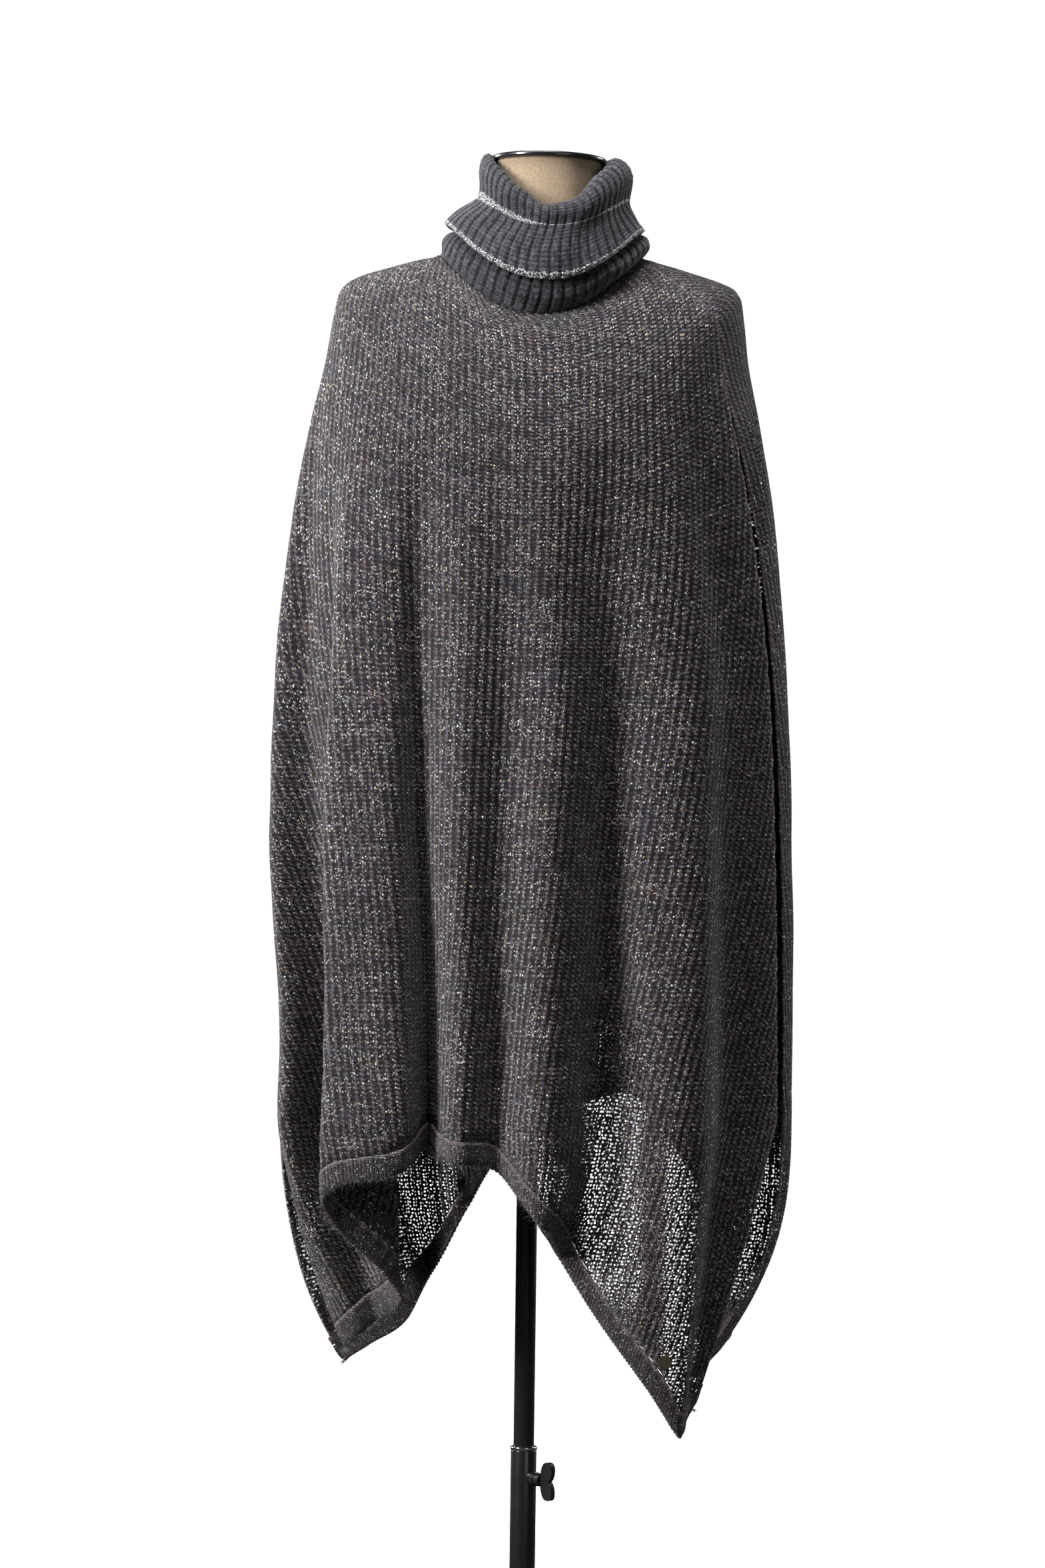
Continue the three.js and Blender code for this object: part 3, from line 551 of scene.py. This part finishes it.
plans = {}
for side in ("front", "back"):
    columns, start, end, place = cloth_plan(side)
    plans[side] = columns, start, end, place
    lowest = end - BAND_HEIGHT - SEAM_GAP
    rows = np.linspace(0, 1, PANEL_ROWS)[:, None]
    drop = start + (lowest - start) * rows
    across = place(drop)
    wales = np.rint(columns / RIB_PITCH * len(RIB_SECTION)).astype(int)
    section = np.array(RIB_SECTION)[wales % len(RIB_SECTION)]
    uneven = lumps(columns, drop, LUMP_SIZE) * np.clip(rows * LUMP_FADE, 0, 1)
    relief = RIB_RELIEF * section - RIB_SINK + uneven
    points = draped(side, across, drop) + outward(side, across, drop) * relief[..., None]
    x, height = points[..., 0], points[..., 2]
    opening = np.full_like(height, CLOSED_KNIT)
    for stretch in OPEN_STRETCHES[side]:
        opening = np.maximum(opening, opened(x, height, stretch, OPEN_SOFT))
    shine = np.ones_like(height)
    if side == "back":
        opening = np.maximum(opening, opened(x, height, EDGE_HOLES, EDGE_SOFT))
        before, over, lurex = DULL_STRIP
        shine = np.where((points[..., 1] < before) & (height > over), lurex, 1.0)
    # Painted edge light along the two bound side edges.
    selvedges = window(across, -1, SELVEDGE, SELVEDGE), window(across, 1 - SELVEDGE, 2, SELVEDGE)
    trim = np.maximum(*selvedges)
    uv = np.stack([np.broadcast_to(columns, drop.shape), -drop], axis=-1)
    panel = sheet_object(f"{side}_panel_knit", points, uv, {"open": opening, "lurex": shine, "trim": trim})
    thicken(panel, PANEL_WALL)
    panel.data.materials.append(body_knit)
    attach(panel, "form")
    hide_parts(f"{side}_panel")


# Hem bands: the lower 23 mm of each panel, knitted double and rolled under, with a raised line of
# bound stitches where the band starts.
BAND_WALL = 0.0034
BAND_PROUD = 0.0009
BAND_ROWS = 11
BAND_WALE = 0.0021
BAND_COURSE = 0.0023
BAND_LUREX = 0.8
BOUND_ROW = 0.11  # the raised line takes this share of the band's height
EDGE_ROW = 0.95  # and from here down is its cast-off edge
LIP = 0.0007
UNDERTURN = 0.0022  # how far the lower quarter rolls in
BULGE = 0.0007
CRIMP = 0.0005
CRIMP_PITCH = 0.0171
PICOT = (0.0, 0.0011, 0.0004)  # the cast-off loops along the lower edge, three columns each
band_knit = knit_material("hem band knit", BAND_WALE, BAND_COURSE, BAND_LUREX, False)
for side in ("front", "back"):
    columns, start, end, place = plans[side]
    rows = np.linspace(0, 1, BAND_ROWS)[:, None]
    loops = np.resize(PICOT, len(columns)) * (rows > EDGE_ROW)
    drop = end - BAND_HEIGHT * (1 - rows) + loops
    across = place(drop)
    lip = np.where(rows < BOUND_ROW, LIP, 0.0) - UNDERTURN * np.clip((rows - 0.75) / 0.25, 0, 1) ** 2
    crimp = CRIMP * np.sin(columns * TURN / CRIMP_PITCH) * (1 - rows)
    relief = BAND_PROUD + lip + crimp + np.sin(rows * math.pi) * BULGE
    points = draped(side, across, drop) + outward(side, across, drop) * relief[..., None]
    # Painted edge light on the band's raised bound row and along its cast-off edge.
    trim = np.broadcast_to(np.where((rows < BOUND_ROW) | (rows > EDGE_ROW), 1.0, 0.0), drop.shape)
    uv = np.stack([np.broadcast_to(columns, drop.shape), -drop], axis=-1)
    band = sheet_object(f"{side}_hem_knit", points, uv, {"lurex": np.ones_like(drop), "trim": trim})
    thicken(band, BAND_WALL)
    band.data.materials.append(band_knit)
    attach(band, "form")
    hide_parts(f"{side}_hem_band")
    step = RIB_PITCH / len(RIB_SECTION)
    cut = float(columns[-1] - columns[0]), float(end.max())
    area = float((end - start).sum() * step)


# Mohair halo: fine loose hairs that stand off the cloth all over, closest along its free edges.
HAIR_WIDTH = 0.00015
HAIR_LENGTHS = (0.003, 0.008)
HAIR_JOINTS = 4
HAIR_TAPER = 0.7
HAIR_SPREAD = (0.9, 0.45)  # how far a hair heads out of the cloth, and how far astray
HAIR_BEND = 0.5
EDGE_DROOP = 1.2  # how much more the edge's hairs head down
EDGE_DEPTH = 0.002  # they grow in this last share of the cloth's length
SELVEDGE_SHARE = 0.12
INWARD_SHARE = 0.25
INWARD = -0.6
HAIRS = {"front": (7000, 2600), "back": (5500, 2200)}  # over the panel, and along its edges
HAIR_DARK = (0.07, 0.066, 0.07, 1)
HAIR_LIGHT = (0.30, 0.28, 0.29, 1)
chooser = np.random.default_rng(7)
material, shader, start_wire = new_material("mohair", {"Roughness": 0.8, "Sheen Weight": 0.4})
shade = on_piece(start_wire).noise(140, 2)
feed(shader, {"Base Color": shade.ramp((0.35, HAIR_DARK), (0.65, HAIR_LIGHT))})
for side, (spread, edging) in HAIRS.items():
    columns, start, end, place = plans[side]
    count = spread + edging
    column = chooser.integers(0, len(columns), count)
    share = chooser.random(count)
    share[spread:] = 1 - EDGE_DEPTH * chooser.random(edging)
    ends = chooser.random(count) < SELVEDGE_SHARE
    column = np.where(ends, np.where(column < len(columns) / 2, 1, len(columns) - 2), column)
    drop = start[column] + (end[column] - start[column]) * share
    across = np.array([place(np.full(len(columns), level))[each] for level, each in zip(drop, column)])
    root = draped(side, across, drop)
    facing = np.where(chooser.random(count) < INWARD_SHARE, INWARD, 1)
    out = outward(side, across, drop) * facing[:, None]
    stray = chooser.normal(size=(count, 3))
    stray[spread:, 2] -= EDGE_DROOP
    heading = out * HAIR_SPREAD[0] + stray * HAIR_SPREAD[1]
    heading /= np.linalg.norm(heading, axis=1, keepdims=True)
    bend = chooser.normal(size=(count, 3)) * HAIR_BEND
    aside = np.cross(heading, chooser.normal(size=(count, 3)))
    aside *= HAIR_WIDTH / 2 / np.linalg.norm(aside, axis=1, keepdims=True)
    length = chooser.uniform(*HAIR_LENGTHS, count)[:, None]
    rows = []
    for joint in range(HAIR_JOINTS):
        way = joint / (HAIR_JOINTS - 1)
        spine = root + (heading * way + bend * way**2) * length
        half = aside * (1 - HAIR_TAPER * way)
        rows.append(np.stack([spine - half, spine + half], axis=1))
    points = np.stack(rows, axis=1).reshape(count * HAIR_JOINTS, 2, 3)
    hairs = sheet_object(f"{side}_mohair", points, points[..., :2])
    strip = bmesh.new()
    strip.from_mesh(hairs.data)
    strip.faces.ensure_lookup_table()
    between = [face for face in strip.faces if face.index % HAIR_JOINTS == HAIR_JOINTS - 1]
    bmesh.ops.delete(strip, geom=between, context="FACES_ONLY")
    strip.to_mesh(hairs.data)
    strip.free()
    hairs.data.materials.append(material)
    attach(hairs, "form")


# Collar: a tall ribbed tube of the plain wool without metallic yarn, picked up round the neck. It
# stands in a soft roll, rises to its rim and turns over outwards. A silver line is knitted in under
# the rim, and the flap is cast off in silver.
COLLAR_COLUMNS = ("shift", "front", "side", "back", "wide", "chest", "nape")
COLLAR_RINGS = (
    (0, 1.4328, 1.497, 1.4892, 0.0974, 0.079, 0.0707),  # seam
    (0.002, 1.4365, 1.5, 1.493, 0.0968, 0.08, 0.0713),  # seam stand
    (0.005, 1.442, 1.505, 1.497, 0.098, 0.088, 0.0785),  # roll foot
    (0.008, 1.45, 1.511, 1.5025, 0.0992, 0.094, 0.083),  # roll middle
    (0.009, 1.46, 1.517, 1.509, 0.0955, 0.09, 0.08),  # roll top
    (0.008, 1.467, 1.521, 1.514, 0.0865, 0.0815, 0.072),  # tuck
    (0.008, 1.494, 1.543, 1.54, 0.0705, 0.074, 0.066),  # tube
    (0.0095, 1.53, 1.588, 1.584, 0.0592, 0.071, 0.062),  # rim inside
    (0.012, 1.539, 1.594, 1.59, 0.066, 0.078, 0.0685),  # rim top
    (0.014, 1.531, 1.5805, 1.58, 0.0725, 0.085, 0.075),  # rim outside
    (0.012, 1.517, 1.553, 1.556, 0.0715, 0.084, 0.076),  # crease
    (0.006, 1.491, 1.538, 1.538, 0.0855, 0.094, 0.087),  # flap middle
    (0.005, 1.4645, 1.526, 1.523, 0.0975, 0.101, 0.096),  # flap edge
)
COLLAR_TILT = 0.02
COLLAR_RIBS = 57
COLLAR_SECTION = (0.9, 1.0, 0.85, 0.15, 0.15, 0.85, 1.0, 0.9)
COLLAR_RELIEF = 0.0021
COLLAR_WALL = 0.003
COLLAR_RADIUS = 0.085  # at which its ribs are counted out round it
COLLAR_STRETCHES = ((0, 5, 16), (5, 9, 13), (9, 12, 14))  # first and last ring, and rows with both
READ_STEP = 0.1  # of a ring, for reading a slope
RIBS_RISE = 1.5  # rings over which the ribs grow from the seam
RIBS_FADE = 0.8  # and over which they flatten to the flap's edge, by the station below
RIBS_END = 12.6
RIBS_LEAST = 0.3
WOBBLE = (0.0012, 0.0008)  # of 5 and of 11 waves round the neck
OUTER_RIBS_END = 6  # from here on the tube's inner face is the one that shows
INNER_RIBS_START = 5.5
FAINT_RIBS = 0.25  # their height on the face that doesn't show, as a share


def collar_point(station, angle):
    stations = np.arange(len(COLLAR_RINGS), dtype=float)
    ring = {
        name: read_curve(stations, np.array([row[i] for row in COLLAR_RINGS], float), station)
        for i, name in enumerate(COLLAR_COLUMNS)
    }
    ring["left"] = ring["right"] = ring["wide"]
    point = ellipse_point(ring, angle, 0)
    point[..., 2] -= COLLAR_TILT * point[..., 0] * station / stations[-1]
    point[..., 0] += ring["shift"]
    return point


def collar_normal(station, angle):
    turn = READ_STEP * 0.2
    around = collar_point(station, angle + turn) - collar_point(station, angle - turn)
    above = np.minimum(station + READ_STEP, len(COLLAR_RINGS) - 1.0)
    beneath = np.maximum(station - READ_STEP, 0)
    along = collar_point(above, angle) - collar_point(beneath, angle)
    normal = np.cross(around, along)
    return normal / np.linalg.norm(normal, axis=-1, keepdims=True)


count = COLLAR_RIBS * len(COLLAR_SECTION)
angle = np.linspace(0, TURN, count + 1)[None, :]
stretches = [np.linspace(*stretch)[1:] for stretch in COLLAR_STRETCHES]
station = np.concatenate([[0.0], *stretches])[:, None]
ribs = np.resize(COLLAR_SECTION, count + 1)
ribs[-1] = ribs[0]
middle = collar_point(station, angle)
normal = collar_normal(station, angle)
ease = np.clip(station / RIBS_RISE, 0, 1) * np.clip((RIBS_END - station) / RIBS_FADE, RIBS_LEAST, 1)
wobble = WOBBLE[0] * np.sin(angle * 5 + station) + WOBBLE[1] * np.sin(angle * 11 + station * 2)
raised = COLLAR_RELIEF * ease * ribs
faces = {}
outer_share = np.clip((OUTER_RIBS_END - station) / 1.5, FAINT_RIBS, 1)
inner_share = np.clip((station - INNER_RIBS_START) / 1.2, FAINT_RIBS, 1)
for face, share in ((1, outer_share), (-1, inner_share)):
    out = face * (COLLAR_WALL / 2 + raised * share) + wobble * np.clip(station / 3, 0, 1)
    faces[face] = middle + normal * out[..., None]
length = np.concatenate([[0], np.cumsum(np.linalg.norm(np.diff(middle, axis=0), axis=2).mean(axis=1))])
loop = np.concatenate([faces[1], faces[-1][::-1], faces[1][:1]])
path = np.concatenate([length, length[::-1], length[:1]])
uv = np.stack(np.broadcast_arrays(angle * COLLAR_RADIUS, path[:, None]), axis=-1)
collar = sheet_object("collar_knit", loop, uv)
shell = bmesh.new()
shell.from_mesh(collar.data)
bmesh.ops.remove_doubles(shell, verts=shell.verts, dist=0.00001)
bmesh.ops.recalc_face_normals(shell, faces=shell.faces)
shell.to_mesh(collar.data)
shell.free()

fixed = {
    "Sheen Weight": 0.4,
    "Sheen Roughness": 0.4,
    "Sheen Tint": (0.7, 0.7, 0.74, 1),
    "Specular IOR Level": 0.2,
}
COLLAR_DARK = (0.009, 0.009, 0.011, 1)
COLLAR_MID = (0.029, 0.029, 0.034, 1)
COLLAR_LIGHT = (0.15, 0.15, 0.165, 1)
SILVER_DARK = (0.07, 0.07, 0.08, 1)
COLLAR_COURSE = 0.0036
LINE_WIDTH = 0.0034
CAST_OFF_WIDTH = 0.0038
CREASE_STATION = 9.9
COLLAR_FIBRE_GRAIN = (1700, 520, 1)
COLLAR_PATCH_GRAIN = (260, 150, 1)
TWIST_PITCH = 0.0015
RAGGED = 0.0055
COLLAR_BUMP = 0.0012
crease = float(np.interp(CREASE_STATION, station[:, 0], length))
edge = float(length[-1])
material, shader, start = new_material("collar rib knit", fixed)
place = on_cloth(start)
around, up, _ = place.split()
fibre = place.stretched(*COLLAR_FIBRE_GRAIN).noise(1, 3, 0.7)
fuzz = place.noise(1300, 3, 0.7)
patch = place.stretched(*COLLAR_PATCH_GRAIN).noise(1, 2, 0.6)
course = (up * (TURN / COLLAR_COURSE) + (patch - 0.5) * 4).sine()
rib = (around * (COLLAR_RIBS / COLLAR_RADIUS) + math.pi * 5 / 8).sine()
# Painted shade in the valleys between the collar's raised ribs.
valley = 1 - rib.step(-0.95, 0.1)
tone = (fibre - 0.5) * 2.9 + (fuzz - 0.5) * 1.5 + (patch - 0.5) * 1.4 + course * 0.1 - valley * 0.25 + 0.45
wool = tone.ramp((0, COLLAR_DARK), (0.5, COLLAR_MID), (1, COLLAR_LIGHT))
ragged = up + (place.noise(420, 2, 0.7) - 0.5) * RAGGED
turn = (around * (1 / COLLAR_RADIUS)).sine()
wide = turn.size() * 0.95 - turn * 0.55 + 0.2
in_crease = 1 - ((ragged - crease).size() / wide).step(LINE_WIDTH * 0.75, LINE_WIDTH * 1.15)
cast_off = ragged.step(edge - CAST_OFF_WIDTH * 1.15, edge - CAST_OFF_WIDTH * 0.85)
silver_line = in_crease.math("MAXIMUM", in_crease, cast_off)
twist = place.stretched(1, 0.8, 1).cells(TWIST_PITCH)
silver = (twist + (fuzz - 0.5) * 0.8).step(0.1, 0.42).blend(SILVER, SILVER_DARK)
feed(
    shader,
    {
        "Base Color": silver_line.blend(wool, silver),
        "Roughness": 0.95 - silver_line * 0.45,
        "Metallic": silver_line * 0.3,
        "Normal": (fuzz * 0.5 + fibre * 0.9 + course * 0.2 + silver_line * twist).bump(1.0, COLLAR_BUMP),
    },
)
collar.data.materials.append(material)
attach(collar, "form")
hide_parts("collar")


# Tag disc: a small plain round of dark bronze-brown plastic pinned flat near the front corner.
material, shader, start = new_material("tag disc", {"Metallic": 0.3, "Roughness": 0.45})
grain = on_piece(start).noise(900)
feed(shader, {"Base Color": grain.blend((0.03, 0.022, 0.012, 1), (0.075, 0.058, 0.032, 1))})
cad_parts["tag_disc"].data.materials.clear()
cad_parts["tag_disc"].data.materials.append(material)


# Torso of the dress form: a padded shell in a tight cover of natural linen, with a high neck that
# leans a little and shoulders that fill the cloth. Its hem is drawn in round the pole's socket.
TORSO_COLUMNS = ("shift", "front", "side", "back", "wide", "chest", "nape")
TORSO_RINGS = (
    (0.008, 1.5905, 1.5905, 1.5905, 0.0525, 0.0525, 0.0525),  # neck top
    (0.007, 1.545, 1.55, 1.55, 0.053, 0.054, 0.053),  # neck middle
    (0.002, 1.48, 1.52, 1.515, 0.064, 0.062, 0.058),  # neck foot
    (0, 1.4365, 1.4975, 1.492, 0.085, 0.068, 0.061),  # neck base
    (0, 1.4145, 1.4845, 1.473, 0.131, 0.0955, 0.0855),  # inner shoulder
    (0, 1.387, 1.4742, 1.4567, 0.1635, 0.107, 0.0945),  # outer shoulder
    (0, 1.3612, 1.4615, 1.4325, 0.1875, 0.1162, 0.1),  # shoulder point
    (0, 1.338, 1.446, 1.408, 0.189, 0.122, 0.102),  # shoulder end
    (0, 1.305, 1.4, 1.368, 0.187, 0.13, 0.107),  # arm end
    (0, 1.255, 1.33, 1.31, 0.174, 0.134, 0.11),  # bust
    (0, 1.18, 1.2, 1.195, 0.145, 0.112, 0.096),  # ribs
    (0, 1.075, 1.075, 1.075, 0.121, 0.092, 0.08),  # waist
    (0, 0.96, 0.96, 0.96, 0.148, 0.104, 0.104),  # high hip
    (0, 0.86, 0.86, 0.86, 0.166, 0.11, 0.118),  # hip
    (0, 0.762, 0.762, 0.762, 0.162, 0.106, 0.112),  # lower edge
    (0, 0.7512, 0.7512, 0.7512, 0.153, 0.097, 0.103),  # rounding
)
SOCKET_RADIUS = 0.0106
SOCKET_DEPTH = 0.062
CAP_TILT = math.radians(1.0)
TORSO_STEPS = 96
THREAD = 0.0011
LINEN_DARK = (0.23, 0.165, 0.105, 1)
LINEN_LIGHT = (0.60, 0.46, 0.32, 1)
stations = np.arange(len(TORSO_RINGS), dtype=float)
station = np.linspace(0, stations[-1], 4 * (len(TORSO_RINGS) - 1) + 1)[:, None]
angle = np.linspace(0, TURN, TORSO_STEPS + 1)[None, :]
ring = {
    name: read_curve(stations, np.array([row[i] for row in TORSO_RINGS], float), station)
    for i, name in enumerate(TORSO_COLUMNS)
}
ring["left"] = ring["right"] = ring["wide"]
skin = ellipse_point(ring, angle, 0)
skin[..., 0] += ring["shift"]
skin[0, :, 2] -= math.tan(CAP_TILT) * (skin[0, :, 0] - TORSO_RINGS[0][0])
below = TORSO_RINGS[-1][1]
round_socket = np.stack([SOCKET_RADIUS * np.sin(angle[0]), -SOCKET_RADIUS * np.cos(angle[0])], axis=-1)
for height in (below, below + SOCKET_DEPTH):
    lip = np.concatenate([round_socket, np.full((TORSO_STEPS + 1, 1), height)], axis=1)
    skin = np.concatenate([skin, lip[None]])
torso = sheet_object("torso_linen", skin, skin[..., :2])
shell = bmesh.new()
shell.from_mesh(torso.data)
bmesh.ops.remove_doubles(shell, verts=shell.verts, dist=0.00001)
bmesh.ops.holes_fill(shell, edges=shell.edges, sides=0)
bmesh.ops.recalc_face_normals(shell, faces=shell.faces)
for rim in shell.edges:
    rim.smooth = rim.calc_face_angle(0) < math.radians(40)
shell.to_mesh(torso.data)
shell.free()
fixed = {"Roughness": 0.9, "Sheen Weight": 0.15, "Specular IOR Level": 0.25}
material, shader, start = new_material("natural linen", fixed)
place = on_piece(start)
x, y, z = place.split()
around = y.math("ARCTAN2", y, x) * 0.06
weave = (around * (TURN / THREAD)).sine() * (z * (TURN / THREAD)).sine()
slub = place.noise(700, 3)
tone = weave * 0.2 + (slub - 0.5) * 1.3 + 0.5
feed(shader, {"Base Color": tone.blend(LINEN_DARK, LINEN_LIGHT), "Normal": (weave + slub).bump(0.6, 0.0005)})
torso.data.materials.append(material)
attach(torso, "form")
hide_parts("form_torso")


# Neck cap: a thin pressed disc in gloss black with a rolled edge and a slight crown, set on the
# neck's slanted end.
def turned(name, profile, steps, where, slot):
    """A turned piece from its profile's pairs of radius and height. Where is its node and its body."""
    node, body = where
    shape = bmesh.new()
    line = [shape.verts.new((radius, 0, height)) for radius, height in profile]
    edges = [shape.edges.new(pair) for pair in zip(line, line[1:])]
    bmesh.ops.spin(
        shape, geom=line + edges, angle=TURN, steps=steps, axis=(0, 0, 1), cent=(0, 0, 0), use_merge=True
    )
    bmesh.ops.remove_doubles(shape, verts=shape.verts, dist=0.000001)
    bmesh.ops.recalc_face_normals(shape, faces=shape.faces)
    for face in shape.faces:
        face.smooth = True
    for edge in shape.edges:
        edge.smooth = edge.calc_face_angle(0) < math.radians(35)
    mesh = bpy.data.meshes.new(name)
    shape.to_mesh(mesh)
    shape.free()
    made = bpy.data.objects.new(name, mesh)
    bpy.context.scene.collection.objects.link(made)
    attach(made, body)
    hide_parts(node)
    return made


def rounded(radius, low, high, edge):
    """A rim's profile from its lower to its upper face, with an edge of that size rounded off."""
    turns = [math.radians(a) for a in (-90, -60, -30, 0)]
    lower = [(radius - edge + edge * math.cos(a), low + edge + edge * math.sin(a)) for a in turns]
    return lower + [(r, high - (height - low)) for r, height in lower[::-1]]


def hard_material(name, colour, roughness, metallic, coat):
    fixed = {"Metallic": metallic, "Coat Weight": coat, "Coat Roughness": 0.08}
    material, shader, start = new_material(name, fixed)
    grain = on_piece(start).noise(60, 4)
    dark, light = (tuple(share * channel for channel in colour) + (1,) for share in (0.8, 1.2))
    feed(shader, {"Base Color": grain.blend(dark, light), "Roughness": grain * 0.12 + (roughness - 0.06)})
    return material


NECK_TOP = (TORSO_RINGS[0][0], 0, TORSO_RINGS[0][1] + SEAM_GAP)
CAP_RADIUS = 0.0575
CAP_THICK = 0.005
CAP_ROUND = 0.0018
CAP_CROWN = 0.002
black_paint = hard_material("gloss black paint", (0.012, 0.012, 0.013), 0.25, 0.0, 0.4)
crown = [
    (radius, CAP_THICK + CAP_CROWN * (1 - (radius / CAP_RADIUS) ** 2)) for radius in (0.05, 0.035, 0.018, 0)
]
cap_profile = [(0, 0)] + rounded(CAP_RADIUS, 0, CAP_THICK, CAP_ROUND) + crown
cap = turned("neck_disc", cap_profile, 72, ("neck_cap", "form"), "black_metal")
cap.data.transform(Matrix.Translation(NECK_TOP) @ Matrix.Rotation(CAP_TILT, 4, "Y"))
cap.data.materials.append(black_paint)


# Stand: a thin upper tube that slides in a wider one, which ends in a bright collar ring and stands
# in the hub of a round steel base plate. All but the ring is painted gloss black.
UPPER_TUBE = (0.0086, 0.0103, 0.137, 0.811)  # bore, radius, lower and upper end
LOWER_TUBE = (0.0108, 0.0128, 0.0103, 0.317)
COLLAR_RING = (0.0108, 0.0134, 0.3173, 0.3203)
HUB_BORE = 0.0131
HUB_TOP = 0.0443
PLATE_RADIUS = 0.155
PLATE_THICK = 0.01
PLATE_ROUND = 0.002
TUBE_ROUND = 0.0006


def tube_profile(bore, radius, low, high):
    return [(bore, low)] + rounded(radius, low, high, TUBE_ROUND) + [(bore, high), (bore, low)]


upper_tube = turned("sliding_tube", tube_profile(*UPPER_TUBE), 48, ("upper_tube", "post"), "black_metal")
lower_tube = turned("sleeve_tube", tube_profile(*LOWER_TUBE), 48, ("lower_tube", "stand"), "black_metal")
ring_band = turned("bright_ring", tube_profile(*COLLAR_RING), 48, ("sleeve_ring", "stand"), "bright_ring")
hub = turned(
    "cast_hub",
    [
        (HUB_BORE, PLATE_THICK + SEAM_GAP),
        (0.0255, PLATE_THICK + SEAM_GAP),
        (0.026, 0.0108),
        (0.026, 0.0212),
        (0.0254, 0.0226),
        (0.0187, 0.043),
        (0.0172, HUB_TOP),
        (HUB_BORE, HUB_TOP),
        (HUB_BORE, PLATE_THICK + SEAM_GAP),
    ],
    48,
    ("base_hub", "stand"),
    "black_metal",
)
plate = turned(
    "steel_plate",
    [(0, 0)] + rounded(PLATE_RADIUS, 0, PLATE_THICK, PLATE_ROUND) + [(0, PLATE_THICK)],
    96,
    ("base_plate", "stand"),
    "black_metal",
)
bright = hard_material("bright chrome", (0.75, 0.75, 0.77), 0.12, 1.0, 0.0)
for piece in (upper_tube, lower_tube, hub, plate):
    piece.data.materials.append(black_paint)
ring_band.data.materials.append(bright)


# Clamping screw: a threaded boss welded on the sleeve, and a screw with a moulded black wing.
EDGE_ROUND = 0.0007
black_plastic = hard_material("black plastic", (0.012, 0.012, 0.012), 0.35, 0.0, 0.2)
finishes = {"screw_boss": black_paint, "clamp_screw": black_plastic, "clamp_wing": black_plastic}
for node, finish in finishes.items():
    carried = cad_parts[node]
    carried.data.materials.clear()
    carried.data.materials.append(finish)
    rounding = carried.modifiers.new("edges", "BEVEL")
    rounding.width = EDGE_ROUND
    rounding.segments = 3
    rounding.limit_method = "ANGLE"
    rounding.angle_limit = math.radians(35)


# Studio: a bright white floor and surround that give the object no light and no reflection, and
# soft lights from above and, on both sides, from the front and from behind.
def stage_object(name, mesh_of, colour, glow):
    shape = bmesh.new()
    mesh_of(shape)
    mesh = bpy.data.meshes.new(name)
    shape.to_mesh(mesh)
    shape.free()
    made = bpy.data.objects.new(name, mesh)
    bpy.context.scene.collection.objects.link(made)
    fixed = {"Base Color": colour, "Roughness": 0.9, "Emission Color": colour, "Emission Strength": glow}
    mesh.materials.append(new_material(name, fixed)[0])
    return made


floor = stage_object(
    "floor",
    lambda shape: bmesh.ops.create_grid(shape, x_segments=1, y_segments=1, size=9),
    (0.9, 0.9, 0.9, 1),
    1.15,
)
floor.visible_diffuse = False
floor.visible_glossy = False
surround = stage_object(
    "surround",
    lambda shape: bmesh.ops.create_icosphere(shape, subdivisions=4, radius=14),
    (1, 1, 1, 1),
    1.0,
)
surround.visible_diffuse = False
surround.visible_glossy = False
surround.visible_shadow = False

world = bpy.data.worlds.new("studio")
bpy.context.scene.world = world
world.use_nodes = True
world.node_tree.nodes["Background"].inputs["Color"].default_value = (1, 1, 1, 1)
world.node_tree.nodes["Background"].inputs["Strength"].default_value = 0.05

LIGHT_TARGET = (0, 0, 1.0)
LIGHTS = {  # place, size and power of each
    "key": ((-2.8, -1.7, 2.2), (0.9, 1.6), 208),
    "fill": ((1.6, -3.2, 1.6), (1.6, 2.2), 12),
    "rim left": ((-2.2, 1.6, 1.6), (1.0, 2.2), 60),
    "rim right": ((2.2, 1.6, 1.6), (1.0, 2.2), 45),
    "top": ((-0.3, -0.5, 3.3), (1.4, 1.4), 70),
}
for name, (place, size, power) in LIGHTS.items():
    lamp = bpy.data.lights.new(name, "AREA")
    lamp.shape = "RECTANGLE"
    lamp.size, lamp.size_y = size
    lamp.energy = power
    made = bpy.data.objects.new(name, lamp)
    made.location = place
    made.rotation_euler = (Vector(LIGHT_TARGET) - Vector(place)).to_track_quat("-Z", "Y").to_euler()
    bpy.context.scene.collection.objects.link(made)

bpy.context.scene.view_settings.view_transform = "Standard"

CAMERA_PLACE = (-0.0099, -4.4, 0.976)
CAMERA_ROLL = math.radians(0.76)
LENS = 102
camera = bpy.data.objects.new("camera", bpy.data.cameras.new("camera"))
camera.data.lens = LENS
camera.data.sensor_width = 36
camera.location = CAMERA_PLACE
level = Matrix.Rotation(math.pi / 2, 3, "X")
camera.rotation_euler = (level @ Matrix.Rotation(CAMERA_ROLL, 3, "Z")).to_euler()
bpy.context.scene.collection.objects.link(camera)
bpy.context.scene.camera = camera
